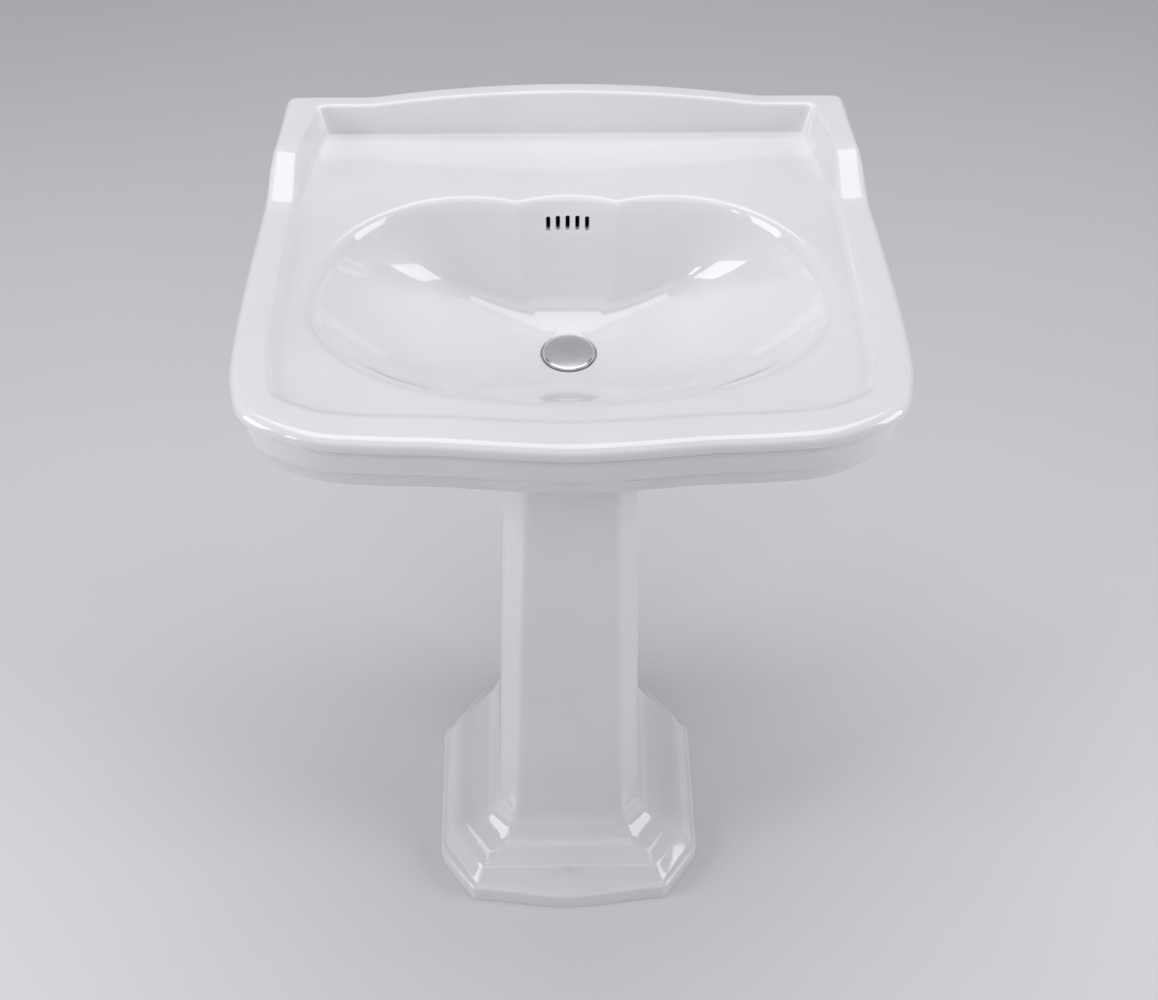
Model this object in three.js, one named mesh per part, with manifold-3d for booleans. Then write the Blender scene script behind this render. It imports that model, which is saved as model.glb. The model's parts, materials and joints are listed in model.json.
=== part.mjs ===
// Pedestal sink: a glazed ceramic basin on a hollow pedestal, with its click waste,
// bottle trap and wall fixings. Millimetres, +Z up. The origin is on the floor under the
// axis of the waste: +X is to the right of a person at the sink, +Y is towards the wall.
import * as THREE from 'three';
import { mergeVertices } from 'three/addons/utils/BufferGeometryUtils.js';
import Module from 'manifold-3d';

const wasm = await Module();
wasm.setup();

// ---- driving dimensions -------------------------------------------------------------
const GAP = 0.3; // left between pieces that touch

const WALL_Y = 250; // wall plane; the waste axis stands this far in front of it
const BACK_HALF = 323; // basin half width at the wall
const RIM_Z = 850; // top of the rim at the front and sides
const END_Z = 880; // top of the upstand at its two ends
const CREST = 16.5; // rise of the upstand's middle above its ends
const BOW_HALF = 225; // half length of the upstand's bow
const SHOULDER = [90, 142]; // y where the side rim starts and ends its climb to the upstand
const DECK_Z = 840;
const UPSTAND = 24; // thickness of the upstand and of the back wall under it
const SHELL = 12; // thickness of the ceramic under the deck and bowl
const SKIRT_Z = 764; // lower edge of the basin's skirt

const CUSP_X = 55; // the two creases in the back of the bowl
const CENTRE_ARC = { radius: 137, top: 107 };
const SIDE_ARC = { x: 112, y: -65, a: 165, b: 170.5 };
const FRONT_ARC = { y: -65, a: 277, b: 163, power: 2.15 };

const DRAIN_Z = 697; // ceramic seat under the waste flange
const RECESS_R = 31.5; // recess that the waste cap closes
const HOLE_R = 23;
const BOSS = { r: 42, z: 660 }; // thickened ceramic round the waste hole
const SLOT = { count: 5, pitch: 11, width: 4.4, height: 18, z: 809, y: 124, reach: 45 };
const DUCT = { outside: 66, drop: 52, run: 36 }; // widths of the overflow duct and its way
const BOLT = { x: 140, z: 800, r: 5, hole: 9 };

const COLUMN_FRONT = -190; // front face of the pedestal's column, at its top
const COLUMN_BACK = 50;
const COLUMN_TOP = 812; // before it is scribed to the belly of the basin
const WALL = 12; // thickness of the pedestal
const SADDLE = 2; // height of the joint between pedestal and basin
const FOOT_TOP = 100; // where the flare of the foot ends and the column starts
const NICK_REACH = 13; // how far the dip in the second tier's front spreads sideways

const PIPE = { z: 560, r: 16, bore: 14.6, end: 295 };
const TUBE = { r: 20.9, bore: 17, bottom: 612 }; // threaded tail of the waste

// ---- finishes -----------------------------------------------------------------------
const finish = (color, roughness, metalness = 0) => ({ color, roughness, metalness });
const CERAMIC = finish(0xe6e6ea, 0.08);
const CHROME = finish(0xc8cbd0, 0.12, 1);
const BRASS = finish(0xb8954a, 0.35, 1);
const ZINC = finish(0xa9adb2, 0.4, 1);
const RUBBER = finish(0x2b2b2d, 0.8);
const FOAM = finish(0xd9d6cc, 0.9);
const NYLON = finish(0xd8d8d2, 0.5);

// ---- small tools --------------------------------------------------------------------
const lerp = (a, b, t) => a + (b - a) * t;
const ramp = (from, to, v) => THREE.MathUtils.smoothstep(v, from, to);
const spline = (points, count) =>
  new THREE.SplineCurve(points.map(([x, y]) => new THREE.Vector2(x, y)))
    .getSpacedPoints(count).map((p) => [p.x, p.y]);

function toSolid(geometry) {
  const bare = geometry.index ? geometry.toNonIndexed() : geometry.clone();
  bare.deleteAttribute('normal');
  bare.deleteAttribute('uv');
  const merged = mergeVertices(bare, 1e-4);
  const mesh = new wasm.Mesh({
    numProp: 3,
    vertProperties: new Float32Array(merged.attributes.position.array),
    triVerts: new Uint32Array(merged.index.array),
  });
  return new wasm.Manifold(mesh);
}

function toGeometry(solid) {
  const { vertProperties, triVerts } = solid.getMesh();
  const geometry = new THREE.BufferGeometry();
  geometry.setAttribute('position', new THREE.BufferAttribute(vertProperties, 3));
  geometry.setIndex(new THREE.BufferAttribute(triVerts, 1));
  return geometry;
}

// Skin over a list of loops with equal point counts; 'ring' joins the last to the first.
function loft(loops, ring = false) {
  const count = loops[0].length;
  const positions = loops.flat(2);
  const index = [];
  const bands = ring ? loops.length : loops.length - 1;
  for (let band = 0; band < bands; band += 1) {
    const a = band * count;
    const b = ((band + 1) % loops.length) * count;
    for (let i = 0; i < count; i += 1) {
      const j = (i + 1) % count;
      index.push(a + i, a + j, b + j, a + i, b + j, b + i);
    }
  }
  if (!ring) {
    for (const [start, flip] of [[0, true], [bands * count, false]]) {
      const flat = loops[start / count].map(([x, y]) => new THREE.Vector2(x, y));
      for (const [p, q, r] of THREE.ShapeUtils.triangulateShape(flat, [])) {
        index.push(start + p, start + (flip ? r : q), start + (flip ? q : r));
      }
    }
  }
  const geometry = new THREE.BufferGeometry();
  geometry.setAttribute('position', new THREE.Float32BufferAttribute(positions, 3));
  geometry.setIndex(index);
  return toSolid(geometry);
}

// Solid of revolution about +Z from [radius, z] points, given counter-clockwise.
function turned(profile, sides = 24) {
  const points = profile.map(([r, z]) => new THREE.Vector2(r, z));
  points.push(points[0].clone());
  return new THREE.LatheGeometry(points, sides).rotateX(Math.PI / 2);
}
const ringOf = (inner, outer, low, high, sides) =>
  turned([[inner, low], [outer, low], [outer, high], [inner, high]], sides);

function prism(points, depth) {
  const shape = new THREE.Shape(points.map(([x, y]) => new THREE.Vector2(x, y)));
  return new THREE.ExtrudeGeometry(shape, { depth, bevelEnabled: false });
}
const circle = (radius) => new THREE.Path().absarc(0, 0, radius, 0, 2 * Math.PI, true);
const block = (x, y, z) => toSolid(new THREE.BoxGeometry(x, y, z));
const towardsWall = (geometry) => geometry.rotateX(-Math.PI / 2); // +Z becomes +Y
const rod = (radius, length, sides) =>
  toSolid(new THREE.CylinderGeometry(radius, radius, length, sides).rotateX(Math.PI / 2));

const root = new THREE.Group();
function add(name, shape, look, place = [0, 0, 0]) {
  const geometry = shape.isBufferGeometry ? shape : toGeometry(shape);
  const mesh = new THREE.Mesh(geometry, new THREE.MeshStandardMaterial(look));
  mesh.name = name;
  mesh.position.set(...place);
  root.add(mesh);
}

// ---- basin --------------------------------------------------------------------------
// Each half outline runs from the middle of the back to the middle of the front in four
// stretches: back to the crease, back to the corner, side, front.
const STEPS = { centre: 3, back: 7, side: 7, front: 11 };
const CORNER = STEPS.centre + STEPS.back; // index of the corner at the wall
const SIDE_TURN = 0.62; // angle on the side arc where the back stretch ends
const FRONT_TURN = 0.56; // angle on the front arc where the front stretch starts

// The left half mirrors the right one. The loop runs back, right, front, left.
function fullLoop(half) {
  const left = half.slice(1, -1).reverse().map(([x, y]) => [-x, y]);
  return [...half, ...left].reverse();
}
const lifted = (loop, z) => loop.map(([x, y]) => [x, y, typeof z === 'number' ? z : z(x, y)]);
const joined = (...pieces) => pieces.flatMap((piece, i) => (i ? piece.slice(1) : piece));

function straight(from, to, count) {
  return Array.from({ length: count + 1 }, (_, i) =>
    [lerp(from[0], to[0], i / count), lerp(from[1], to[1], i / count)]);
}

function outerHalf() {
  const { centre, back, side, front } = STEPS;
  return joined(
    straight([0, WALL_Y], [CUSP_X, WALL_Y], centre),
    straight([CUSP_X, WALL_Y], [BACK_HALF, WALL_Y], back),
    spline([[BACK_HALF, WALL_Y], [330, 150], [338, 80], [347, -60], [350, -155]], side),
    spline([[350, -155], [346, -210], [328, -258], [266, -292], [200, -301], [135, -304],
      [65, -311], [0, -315]], front),
  );
}

function deckHalf() {
  const { centre, back, side, front } = STEPS;
  const y = WALL_Y - UPSTAND;
  return joined(
    straight([0, y], [CUSP_X, y], centre),
    straight([CUSP_X, y], [278, y], back),
    spline([[278, y], [292, 160], [295, 90], [299, -60], [298, -160]], side),
    spline([[298, -160], [290, -212], [252, -244], [160, -246], [71, -254], [0, -258]], front),
  );
}

// Three arcs at the back, which meet in two creases, and one long arc round the front.
function bowlHalf(grow = 0) {
  const { centre, back, side, front } = STEPS;
  const crease = Math.asin(CUSP_X / CENTRE_ARC.radius);
  const arc = (count, point) =>
    Array.from({ length: count + 1 }, (_, i) => point(i / count));
  const middle = arc(centre, (t) => [
    (CENTRE_ARC.radius + grow) * Math.sin(crease * t),
    CENTRE_ARC.top - CENTRE_ARC.radius + (CENTRE_ARC.radius + grow) * Math.cos(crease * t)]);
  const start = Math.asin((CUSP_X - SIDE_ARC.x) / SIDE_ARC.a);
  const lobe = (angle) => [
    SIDE_ARC.x + (SIDE_ARC.a + grow) * Math.sin(angle),
    SIDE_ARC.y + (SIDE_ARC.b + grow) * Math.cos(angle)];
  const first = arc(back, (t) => lobe(lerp(start, SIDE_TURN, t)));
  const sweep = (angle) => {
    const s = Math.sin(angle) ** (2 / FRONT_ARC.power);
    const c = Math.cos(angle) ** (2 / FRONT_ARC.power);
    return [(FRONT_ARC.a + grow) * c, FRONT_ARC.y - (FRONT_ARC.b + grow) * s];
  };
  const rest = spline([...arc(6, (t) => lobe(lerp(SIDE_TURN, Math.PI / 2, t))),
    ...arc(3, (t) => sweep(FRONT_TURN * lerp(0.25, 1, t)))], side);
  const last = arc(front, (t) => sweep(lerp(FRONT_TURN, Math.PI / 2, t)));
  return joined(middle, first, rest, last);
}

const EDGE = bowlHalf();
const ANGLES = EDGE.map(([x, y]) => Math.atan2(x, y));
const circleHalf = (radius) => ANGLES.map((a) => [radius * Math.sin(a), radius * Math.cos(a)]);

// Height of the rim's crest: a bowed upstand at the wall, a shoulder, then the level rim.
function crestZ(x, y) {
  const bow = CREST - (CREST + 1) * (x / BOW_HALF) ** 2;
  const atWall = END_Z + Math.max(bow, -0.5);
  const climb = ramp(SHOULDER[0], SHOULDER[1], y);
  const back = ramp(170, 215, y);
  return lerp(lerp(RIM_Z, END_Z, climb), atWall, back);
}

const OUTER = outerHalf();
const DECK = deckHalf();
const across = (t) => OUTER.map(([x, y], i) => [lerp(x, DECK[i][0], t), lerp(y, DECK[i][1], t)]);

// The outer outline moved inwards by 'side', and at the wall by 'back'.
function inset(side, back = 0) {
  return OUTER.map(([x, y], i) => {
    if (i <= CORNER) return [x * (BACK_HALF - side) / BACK_HALF, WALL_Y - back];
    const [px, py] = OUTER[i - 1];
    const [nx, ny] = OUTER[i + 1] ?? [-px, py];
    const length = Math.hypot(nx - px, ny - py);
    return [x + side * (ny - py) / length, y - side * (nx - px) / length];
  });
}

// Where the wall of the bowl meets its floor. The back wall's foot runs nearly straight across,
// so the creases die out there; round the sides and front the foot lies towards the drain.
function bowlFoot([ex, ey], angle, shell) {
  const reach = Math.hypot(ex, ey);
  const keep = 1 - lerp(26, 88, ramp(55, 130, angle)) / reach;
  const round = ramp(38, 62, angle);
  const z = lerp(712, 746, ramp(35, 95, angle)) - 22 * ramp(100, 165, angle) - shell;
  const straight = [0.955 * ex, 27.5 + 0.5 * (ey + shell)];
  return [lerp(straight[0], keep * ex, round), lerp(straight[1], keep * ey, round), z];
}

// The bowl from its edge to the drain, as a Bezier whose handles point at the wall's foot.
function bowlLoop(t, shell = 0) {
  const edge = bowlHalf(shell);
  const bore = circleHalf(RECESS_R + 2 + shell);
  return edge.map((point, i) => {
    const angle = THREE.MathUtils.radToDeg(ANGLES[i]);
    const pull = lerp(0.92, 0.62, ramp(55, 130, angle));
    const foot = bowlFoot(point, angle, shell);
    const from = [...point, DECK_Z - 3 - shell];
    const to = [...bore[i], DRAIN_Z + 5.6 - shell];
    return from.map((value, k) => {
      const p1 = lerp(value, foot[k], pull);
      const p2 = lerp(to[k], foot[k], pull);
      const s = 1 - t;
      return s ** 3 * value + 3 * s * s * t * p1 + 3 * s * t * t * p2 + t ** 3 * to[k];
    });
  });
}

const fractions = (count, from = 0, to = 1) =>
  Array.from({ length: count }, (_, i) => lerp(from, to, i / (count - 1)));
const mirrored = (half) => {
  const left = half.slice(1, -1).reverse().map(([x, y, z]) => [-x, y, z]);
  return [...half, ...left].reverse();
};

const hoop = (radius, z) => lifted(fullLoop(circleHalf(radius)), z);
const bellyLoops = () => fractions(6).map((t) => mirrored(bowlLoop(t, SHELL)));

function basinShell() {
  const rim = (t, drop) => lifted(fullLoop(across(t)), (x, y) => crestZ(x, y) - drop);
  // Insets and levels down the outside: a cove, a bead, then two bands.
  const skirt = [[0, 836], [6, 832], [10, 828], [8.5, 824], [11.5, 796], [17, 790], [20, 785],
    [28, SKIRT_Z]];
  const top = [
    hoop(HOLE_R, DRAIN_Z), hoop(RECESS_R, DRAIN_Z), hoop(RECESS_R, DRAIN_Z + 4),
    ...fractions(9, 1, 0).map((t) => mirrored(bowlLoop(t))),
    lifted(fullLoop(bowlHalf(3)), DECK_Z), lifted(fullLoop(DECK), DECK_Z + 1),
    rim(0.8, 1.5), rim(0.68, 0), rim(0.23, 0), rim(0.07, 3.3), rim(0, 11),
  ];
  const outside = skirt.map(([side, z]) => lifted(fullLoop(inset(side)), z));
  const under = [
    lifted(fullLoop(inset(40, UPSTAND)), SKIRT_Z),
    lifted(fullLoop(inset(44, UPSTAND)), DECK_Z - SHELL),
    ...bellyLoops(), hoop(BOSS.r, BOSS.z + 20), hoop(BOSS.r, BOSS.z), hoop(HOLE_R, BOSS.z),
  ];
  return loft([...top, ...outside, ...under].reverse(), true);
}

// A bar across X, whose section is a list of [y, z] points.
function barAcross(section, width) {
  const geometry = prism(section, width);
  return toSolid(geometry.rotateX(Math.PI / 2).rotateZ(Math.PI / 2).translate(-width / 2, 0, 0));
}

// A round-ended bar through the back wall of the bowl, into the overflow.
function overflowSlot(x) {
  const half = SLOT.width / 2;
  const shape = new THREE.Shape();
  shape.absarc(0, SLOT.height / 2 - half, half, 0, Math.PI, false);
  shape.absarc(0, half - SLOT.height / 2, half, Math.PI, 2 * Math.PI, false);
  const options = { depth: SLOT.reach, bevelEnabled: false, curveSegments: 3 };
  const geometry = new THREE.ExtrudeGeometry(shape, options);
  return toSolid(geometry.rotateX(Math.PI / 2).translate(x, SLOT.y, SLOT.z));
}

// The overflow runs down behind the bowl and forward into the waste hole.
function basin() {
  const duct = barAcross([[112, 829], [138, 829], [138, 760], [128, 682], [96, 662], [30, 660],
    [30, 686], [80, 700], [100, 712]], DUCT.outside);
  const drop = barAcross([[114, 820], [130, 820], [130, 762], [124, 712], [108, 712]], DUCT.drop);
  const run = barAcross([[107, 718], [123, 718], [121, 688], [94, 670], [0, 668], [0, 690],
    [86, 694]], DUCT.run);
  let solid = basinShell().add(duct).subtract(drop).subtract(run);
  for (const side of [-1, 1]) {
    const hole = new THREE.CylinderGeometry(BOLT.hole, BOLT.hole, 60, 16);
    solid = solid.subtract(toSolid(hole.translate(side * BOLT.x, WALL_Y, BOLT.z)));
  }
  const middle = (SLOT.count - 1) / 2;
  for (let i = 0; i < SLOT.count; i += 1) {
    solid = solid.subtract(overflowSlot((i - middle) * SLOT.pitch));
  }
  return solid;
}

// ---- pedestal -----------------------------------------------------------------------
// An octagonal outline: flat back, cut corners, straight sides and a front that may bow
// outwards (bow) or be nicked inwards in its middle (nick).
function footprint(z, { half, face, front, cut, back = COLUMN_BACK, backHalf, backCut, bow = 0,
  nick = 0 }) {
  const frontRun = straight([face, front], [0, front], 8).map(([x, y]) =>
    [x, y - bow * ramp(0, 1, 1 - x / face) + nick * Math.exp(-x / NICK_REACH)]);
  const right = joined(
    straight([0, back], [backHalf, back], 2),
    straight([backHalf, back], [half, back - backCut], 2),
    straight([half, back - backCut], [half, front + cut], 3),
    straight([half, front + cut], [face, front], 2),
    frontRun,
  );
  return lifted(fullLoop(right), z);
}

const columnAt = (z) => {
  const t = (z - FOOT_TOP) / (COLUMN_TOP - FOOT_TOP);
  return { half: lerp(89, 70, t), face: lerp(67, 46, t), front: lerp(-194, COLUMN_FRONT, t) };
};

function pedestalOutside() {
  const plinth = { cut: 62, backHalf: 113, backCut: 55 };
  const loops = [
    ...[0, 23].map((z) => footprint(z, { ...plinth, half: 166, face: 123, front: -264, bow: 13 })),
    footprint(25.5, { ...plinth, half: 163, face: 121, front: -261, bow: 12 }),
    footprint(27.5, { ...plinth, half: 159, face: 118, front: -257, nick: 10 }),
    footprint(43, { ...plinth, half: 150, face: 111, front: -243 }),
    footprint(46, { ...plinth, half: 147, face: 108, front: -239 }),
  ];
  const start = { half: 145, face: 106, front: -237, cut: 60, backHalf: 100, backCut: 50 };
  const end = { ...columnAt(FOOT_TOP), cut: 26, backHalf: 78, backCut: 11 };
  for (const turn of [0, 30, 60, 90]) {
    const rise = 1 - Math.cos(THREE.MathUtils.degToRad(turn));
    const draw = Math.sin(THREE.MathUtils.degToRad(turn));
    const level = {};
    for (const key of Object.keys(end)) level[key] = lerp(start[key], end[key], draw);
    loops.push(footprint(lerp(48, FOOT_TOP, rise), level));
  }
  for (const z of [340, 580, COLUMN_TOP]) {
    const { half, face, front } = columnAt(z);
    loops.push(footprint(z, { half, face, front, cut: 26, backHalf: half - 11, backCut: 11 }));
  }
  return loft(loops);
}

function pedestalHollow() {
  const open = COLUMN_BACK + 30;
  const low = { back: open, backHalf: 40, backCut: 90, cut: 56 };
  const high = { back: open, backCut: 2, cut: 22 };
  const columnVoid = (z) => {
    const { half, face, front } = columnAt(z);
    const wide = half - WALL;
    return footprint(z, { ...high, half: wide, backHalf: wide - 1, face: face - 6, front: front + WALL });
  };
  return loft([
    footprint(-5, { ...low, half: 146, face: 104, front: -244 }),
    footprint(28, { ...low, half: 134, face: 96, front: -228 }),
    footprint(45, { ...low, half: 110, face: 78, front: -208, cut: 40, backCut: 60 }),
    footprint(75, { ...high, half: 81, face: 64, front: -184, backHalf: 70, backCut: 8 }),
    columnVoid(110), columnVoid(COLUMN_TOP + 20),
  ]);
}

// Everything above the underside of the bowl, lowered by 'drop'.
function aboveBelly(drop) {
  const belly = bellyLoops();
  const roof = belly[0].map(([x, y]) => [x, y, 900]);
  return loft([hoop(BOSS.r, BOSS.z), hoop(BOSS.r, BOSS.z + 20), ...belly.reverse(), roof])
    .translate([0, 0, -drop]);
}

function addPedestal() {
  const column = pedestalOutside().subtract(pedestalHollow());
  add('pedestal', column.subtract(aboveBelly(SADDLE)), CERAMIC);
  const seam = column.intersect(aboveBelly(SADDLE - GAP)).subtract(aboveBelly(GAP));
  const pads = { front: [0, -180, 50, 30], left: [-75, -70, 40, 46], right: [75, -70, 40, 46] };
  for (const [side, [x, y, wide, deep]] of Object.entries(pads)) {
    const region = block(wide, deep, 400).translate([x, y, 700]);
    add(`saddle_pad_${side}`, seam.intersect(region), RUBBER);
  }
}

// ---- click waste --------------------------------------------------------------------
const FLANGE_Z = DRAIN_Z + 3.6; // top of the waste flange
const SPIDER = { z: 668, height: 8 };

// The flanged tail of the waste, with its overflow windows and the spider inside it.
function wasteBody() {
  const { r, bore, bottom } = TUBE;
  let solid = toSolid(turned([[bore, bottom], [r, bottom], [r, FLANGE_Z - 1.6], [28.5, FLANGE_Z - 1.6],
    [28.5, FLANGE_Z - 0.6], [26, FLANGE_Z], [18.5, FLANGE_Z], [bore, FLANGE_Z - 3]], 28));
  solid = solid.subtract(block(14, 60, 14).translate([0, 0, 682]));
  const hub = toSolid(ringOf(7.6, 10, SPIDER.z, SPIDER.z + SPIDER.height, 16));
  const arm = block(9.5, 4, SPIDER.height).translate([13, 0, SPIDER.z + SPIDER.height / 2]);
  return solid.add(hub).add(arm).add(arm.rotate([0, 0, 180]));
}

// A helix from 'low' to 'high' with flat-sided round wire.
function coilSpring(low, high, radius, wire, turns) {
  const path = new THREE.Curve();
  path.getPoint = (t) => new THREE.Vector3(
    radius * Math.cos(2 * Math.PI * turns * t),
    radius * Math.sin(2 * Math.PI * turns * t),
    lerp(low + wire, high - wire, t));
  const section = new THREE.Shape().absarc(0, 0, wire, 0, 2 * Math.PI, false);
  const options = { steps: turns * 12, bevelEnabled: false, extrudePath: path, curveSegments: 3 };
  return new THREE.ExtrudeGeometry(section, options);
}

function addWaste() {
  const seat = FLANGE_Z + GAP;
  const under = seat + 2 + GAP; // underside of the cap
  add('plug_cap', turned([[0, under - 0.2], [3, under - 0.2], [3.4, under - 4], [6, under - 4],
    [6, under], [27, under], [28.8, under - 1.8], [30, under - 1.8], [30, under - 1],
    [28.5, under], [22, under + 2], [12, under + 3.5], [0, under + 4]], 36), CHROME);
  add('plug_seal', ringOf(19, 26, seat, seat + 2, 28), RUBBER);
  add('plug_stem', turned([[0, 664], [2.8, 664], [2.8, 672], [4.6, 672], [4.6, 675], [2.8, 675],
    [2.8, under - 0.6], [0, under - 0.6]], 16), BRASS);
  add('click_cartridge', turned([[0, 652], [7, 652], [7, 686], [3.4, 686], [3.4, 683.6],
    [5, 683.6], [5, 655], [0, 655]], 16), BRASS);
  add('click_spring', coilSpring(655.3, 671.7, 4, 0.45, 5), ZINC);
  add('waste_body', wasteBody(), CHROME);
  add('flange_washer', ringOf(TUBE.r + 0.5, 28, DRAIN_Z + GAP, FLANGE_Z - 1.6 - GAP, 28), FOAM);
  const taper = BOSS.z - GAP;
  add('taper_washer', turned([[TUBE.r + GAP, taper - 9], [24, taper - 9], [30, taper - 3],
    [30, taper], [TUBE.r + GAP, taper]], 28), RUBBER);
  add('slip_washer', ringOf(TUBE.r + GAP, 29, taper - 11.3, taper - 9.3, 28), NYLON);
  add('back_nut', nut(27.5, TUBE.r + GAP, 9), BRASS, [0, 0, taper - 20.6]);
}

// A hexagonal nut, 'radius' to its corners.
function nut(radius, bore, height) {
  const hexagon = Array.from({ length: 6 }, (_, i) =>
    [radius * Math.cos(i * Math.PI / 3), radius * Math.sin(i * Math.PI / 3)]);
  const shape = new THREE.Shape(hexagon.map(([x, y]) => new THREE.Vector2(x, y)));
  shape.holes = [circle(bore)];
  const options = { depth: height, bevelEnabled: false, curveSegments: 10 };
  return new THREE.ExtrudeGeometry(shape, options);
}

// ---- bottle trap --------------------------------------------------------------------
// The bottle with its neck and dip tube, and the port that leads to the wall.
function trapBody() {
  const bottle = toSolid(turned([[14.2, 470], [16, 470], [16, 584], [26, 576], [26, 452],
    [28, 452], [28, 476], [30, 476], [30, 582], [24, 590], [17, 592], [17, 605.7],
    [20.5, 605.7], [20.5, 609.3], [14.2, 609.3]], 28));
  const outlet = toSolid(towardsWall(ringOf(16.4, 20, 0, 35, 24))).translate([0, 27, PIPE.z]);
  const way = rod(14.5, 30, 24).rotate([90, 0, 0]).translate([0, 30, PIPE.z]);
  const dip = rod(16, 140, 24).translate([0, 0, 530]);
  const inside = rod(26, 120, 28).translate([0, 0, 515]);
  return bottle.add(outlet.subtract(inside)).subtract(way.subtract(dip));
}

function addTrap() {
  const washerTop = TUBE.bottom - GAP;
  add('trap_inlet_washer', ringOf(14.5, 20.5, 609.6, washerTop, 24), RUBBER);
  add('trap_inlet_nut', turned([[17.4, 600], [25, 600], [26, 604], [26, 634], [24.5, 637],
    [TUBE.r + GAP, 637], [TUBE.r + GAP, 605.4], [17.4, 605.4]]), CHROME);
  add('trap_body', trapBody(), CHROME);
  add('trap_cup', turned([[0, 424], [18, 425.5], [29, 432], [33, 442], [33, 475.7],
    [30.3, 475.7], [28.3, 470], [28.3, 450], [26, 447], [26, 438], [18, 431], [0, 429]], 28), CHROME);
  add('trap_cup_seal', ringOf(26, 28, 450.3, 451.7, 28), RUBBER);
  const along = (geometry, y) => toSolid(towardsWall(geometry)).translate([0, y, PIPE.z]);
  add('trap_outlet_nut', along(turned([[20.3, 0], [25, 0], [26, 3], [26, 18], [24, 23],
    [PIPE.r + 0.4, 23], [PIPE.r + 0.4, 18.3], [20.3, 18.3]]), 48), CHROME);
  add('trap_outlet_washer', along(ringOf(PIPE.r + GAP, 20, 0, 3.4, 24), 62.4), RUBBER);
  add('outlet_pipe', along(ringOf(PIPE.bore, PIPE.r, 0, PIPE.end - 46, 24), 46), CHROME);
  add('wall_rosette', along(turned([[PIPE.r + 0.5, 0], [PIPE.r + 3, 0], [32, 6], [38, 10],
    [38, 11.7], [36, 11.7], [30, 8], [PIPE.r + 2, 2.5], [PIPE.r + 0.5, 2.5]], 32),
  WALL_Y - 12), CHROME);
}

// ---- wall fixings -------------------------------------------------------------------
// A hanger bolt in its wall plug, with the sleeve, washer and nut that hold the basin.
function addWallFixing(name, x) {
  const inner = WALL_Y - UPSTAND; // inside face of the basin's back wall
  const place = (geometry, y) => toSolid(towardsWall(geometry)).translate([x, y, BOLT.z]);
  add(`hanger_bolt_${name}`, place(turned([[0, 0], [BOLT.r - 1, 0], [BOLT.r, 1], [BOLT.r, 46],
    [3.6, 47], [3.6, 100], [0.6, 108], [0, 108]], 12), 200), ZINC);
  add(`wall_plug_${name}`, place(turned([[5.3, 0], [8, 0], [8, 1.5], [7, 3], [7, 56], [5, 64.4],
    [1.5, 64.4], [4, 60], [4, 3.5]], 12), WALL_Y + 0.6), NYLON);
  add(`bolt_sleeve_${name}`, place(turned([[5.3, 0], [14, 0], [14, 3], [8.6, 3], [8.6, 24],
    [5.3, 24]], 16), inner - 3.3), NYLON);
  add(`bolt_washer_${name}`, place(ringOf(5.3, 12, 0, 2, 16), inner - 5.6), ZINC);
  add(`bolt_nut_${name}`, place(nut(9.5, 5.3, 8), inner - 13.9), ZINC);
}

add('basin', basin(), CERAMIC);
addPedestal();
addWaste();
addTrap();
addWallFixing('left', -BOLT.x);
addWallFixing('right', BOLT.x);

export default root;
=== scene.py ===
# %% [markdown]
# # A ceramic pedestal sink
# The measured model comes in first as a frame. Every piece made below stands in for one of its
# nodes, so the frame says where things are and this script only says how they look. Everything
# is in metres: +X is to the right of a person at the sink, +Y is towards the wall, +Z is up.

# %% Load the frame
import json
import math
import bpy
import bmesh
import numpy as np
from mathutils import Matrix, Vector
from mathutils.bvhtree import BVHTree


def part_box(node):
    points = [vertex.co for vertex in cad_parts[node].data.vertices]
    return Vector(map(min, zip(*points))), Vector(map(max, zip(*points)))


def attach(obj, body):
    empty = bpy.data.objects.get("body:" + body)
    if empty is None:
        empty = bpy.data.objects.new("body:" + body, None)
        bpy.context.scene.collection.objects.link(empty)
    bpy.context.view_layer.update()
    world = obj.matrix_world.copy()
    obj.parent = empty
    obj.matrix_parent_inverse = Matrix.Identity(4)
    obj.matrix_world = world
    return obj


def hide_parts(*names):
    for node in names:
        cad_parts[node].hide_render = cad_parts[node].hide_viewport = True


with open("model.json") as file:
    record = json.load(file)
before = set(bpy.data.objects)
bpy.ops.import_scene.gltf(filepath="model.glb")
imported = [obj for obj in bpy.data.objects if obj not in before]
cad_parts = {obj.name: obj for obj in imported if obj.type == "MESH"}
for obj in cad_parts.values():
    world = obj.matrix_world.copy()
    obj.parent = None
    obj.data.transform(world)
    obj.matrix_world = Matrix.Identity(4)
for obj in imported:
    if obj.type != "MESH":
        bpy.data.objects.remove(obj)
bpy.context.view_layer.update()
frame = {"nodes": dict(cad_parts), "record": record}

MM = 0.001
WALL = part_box("basin")[1].y
print("frame:", len(frame["nodes"]), "nodes, wall plane at y =", round(WALL, 3))

# %% [markdown]
# ## The view
# A long lens looks steeply down from in front, a little to the left, which shows the deck and
# bowl as much as the pedestal. The camera's axes are built from its pitch, yaw and roll.

# %% Camera
EYE = Vector((-0.0363, -1.7234, 2.2089))
PITCH, YAW, ROLL = 0.791, 0.029, 0.012  # radians: down, to the right, tilt
LENS = 62.6  # millimetres, on a 36 mm sensor


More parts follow.
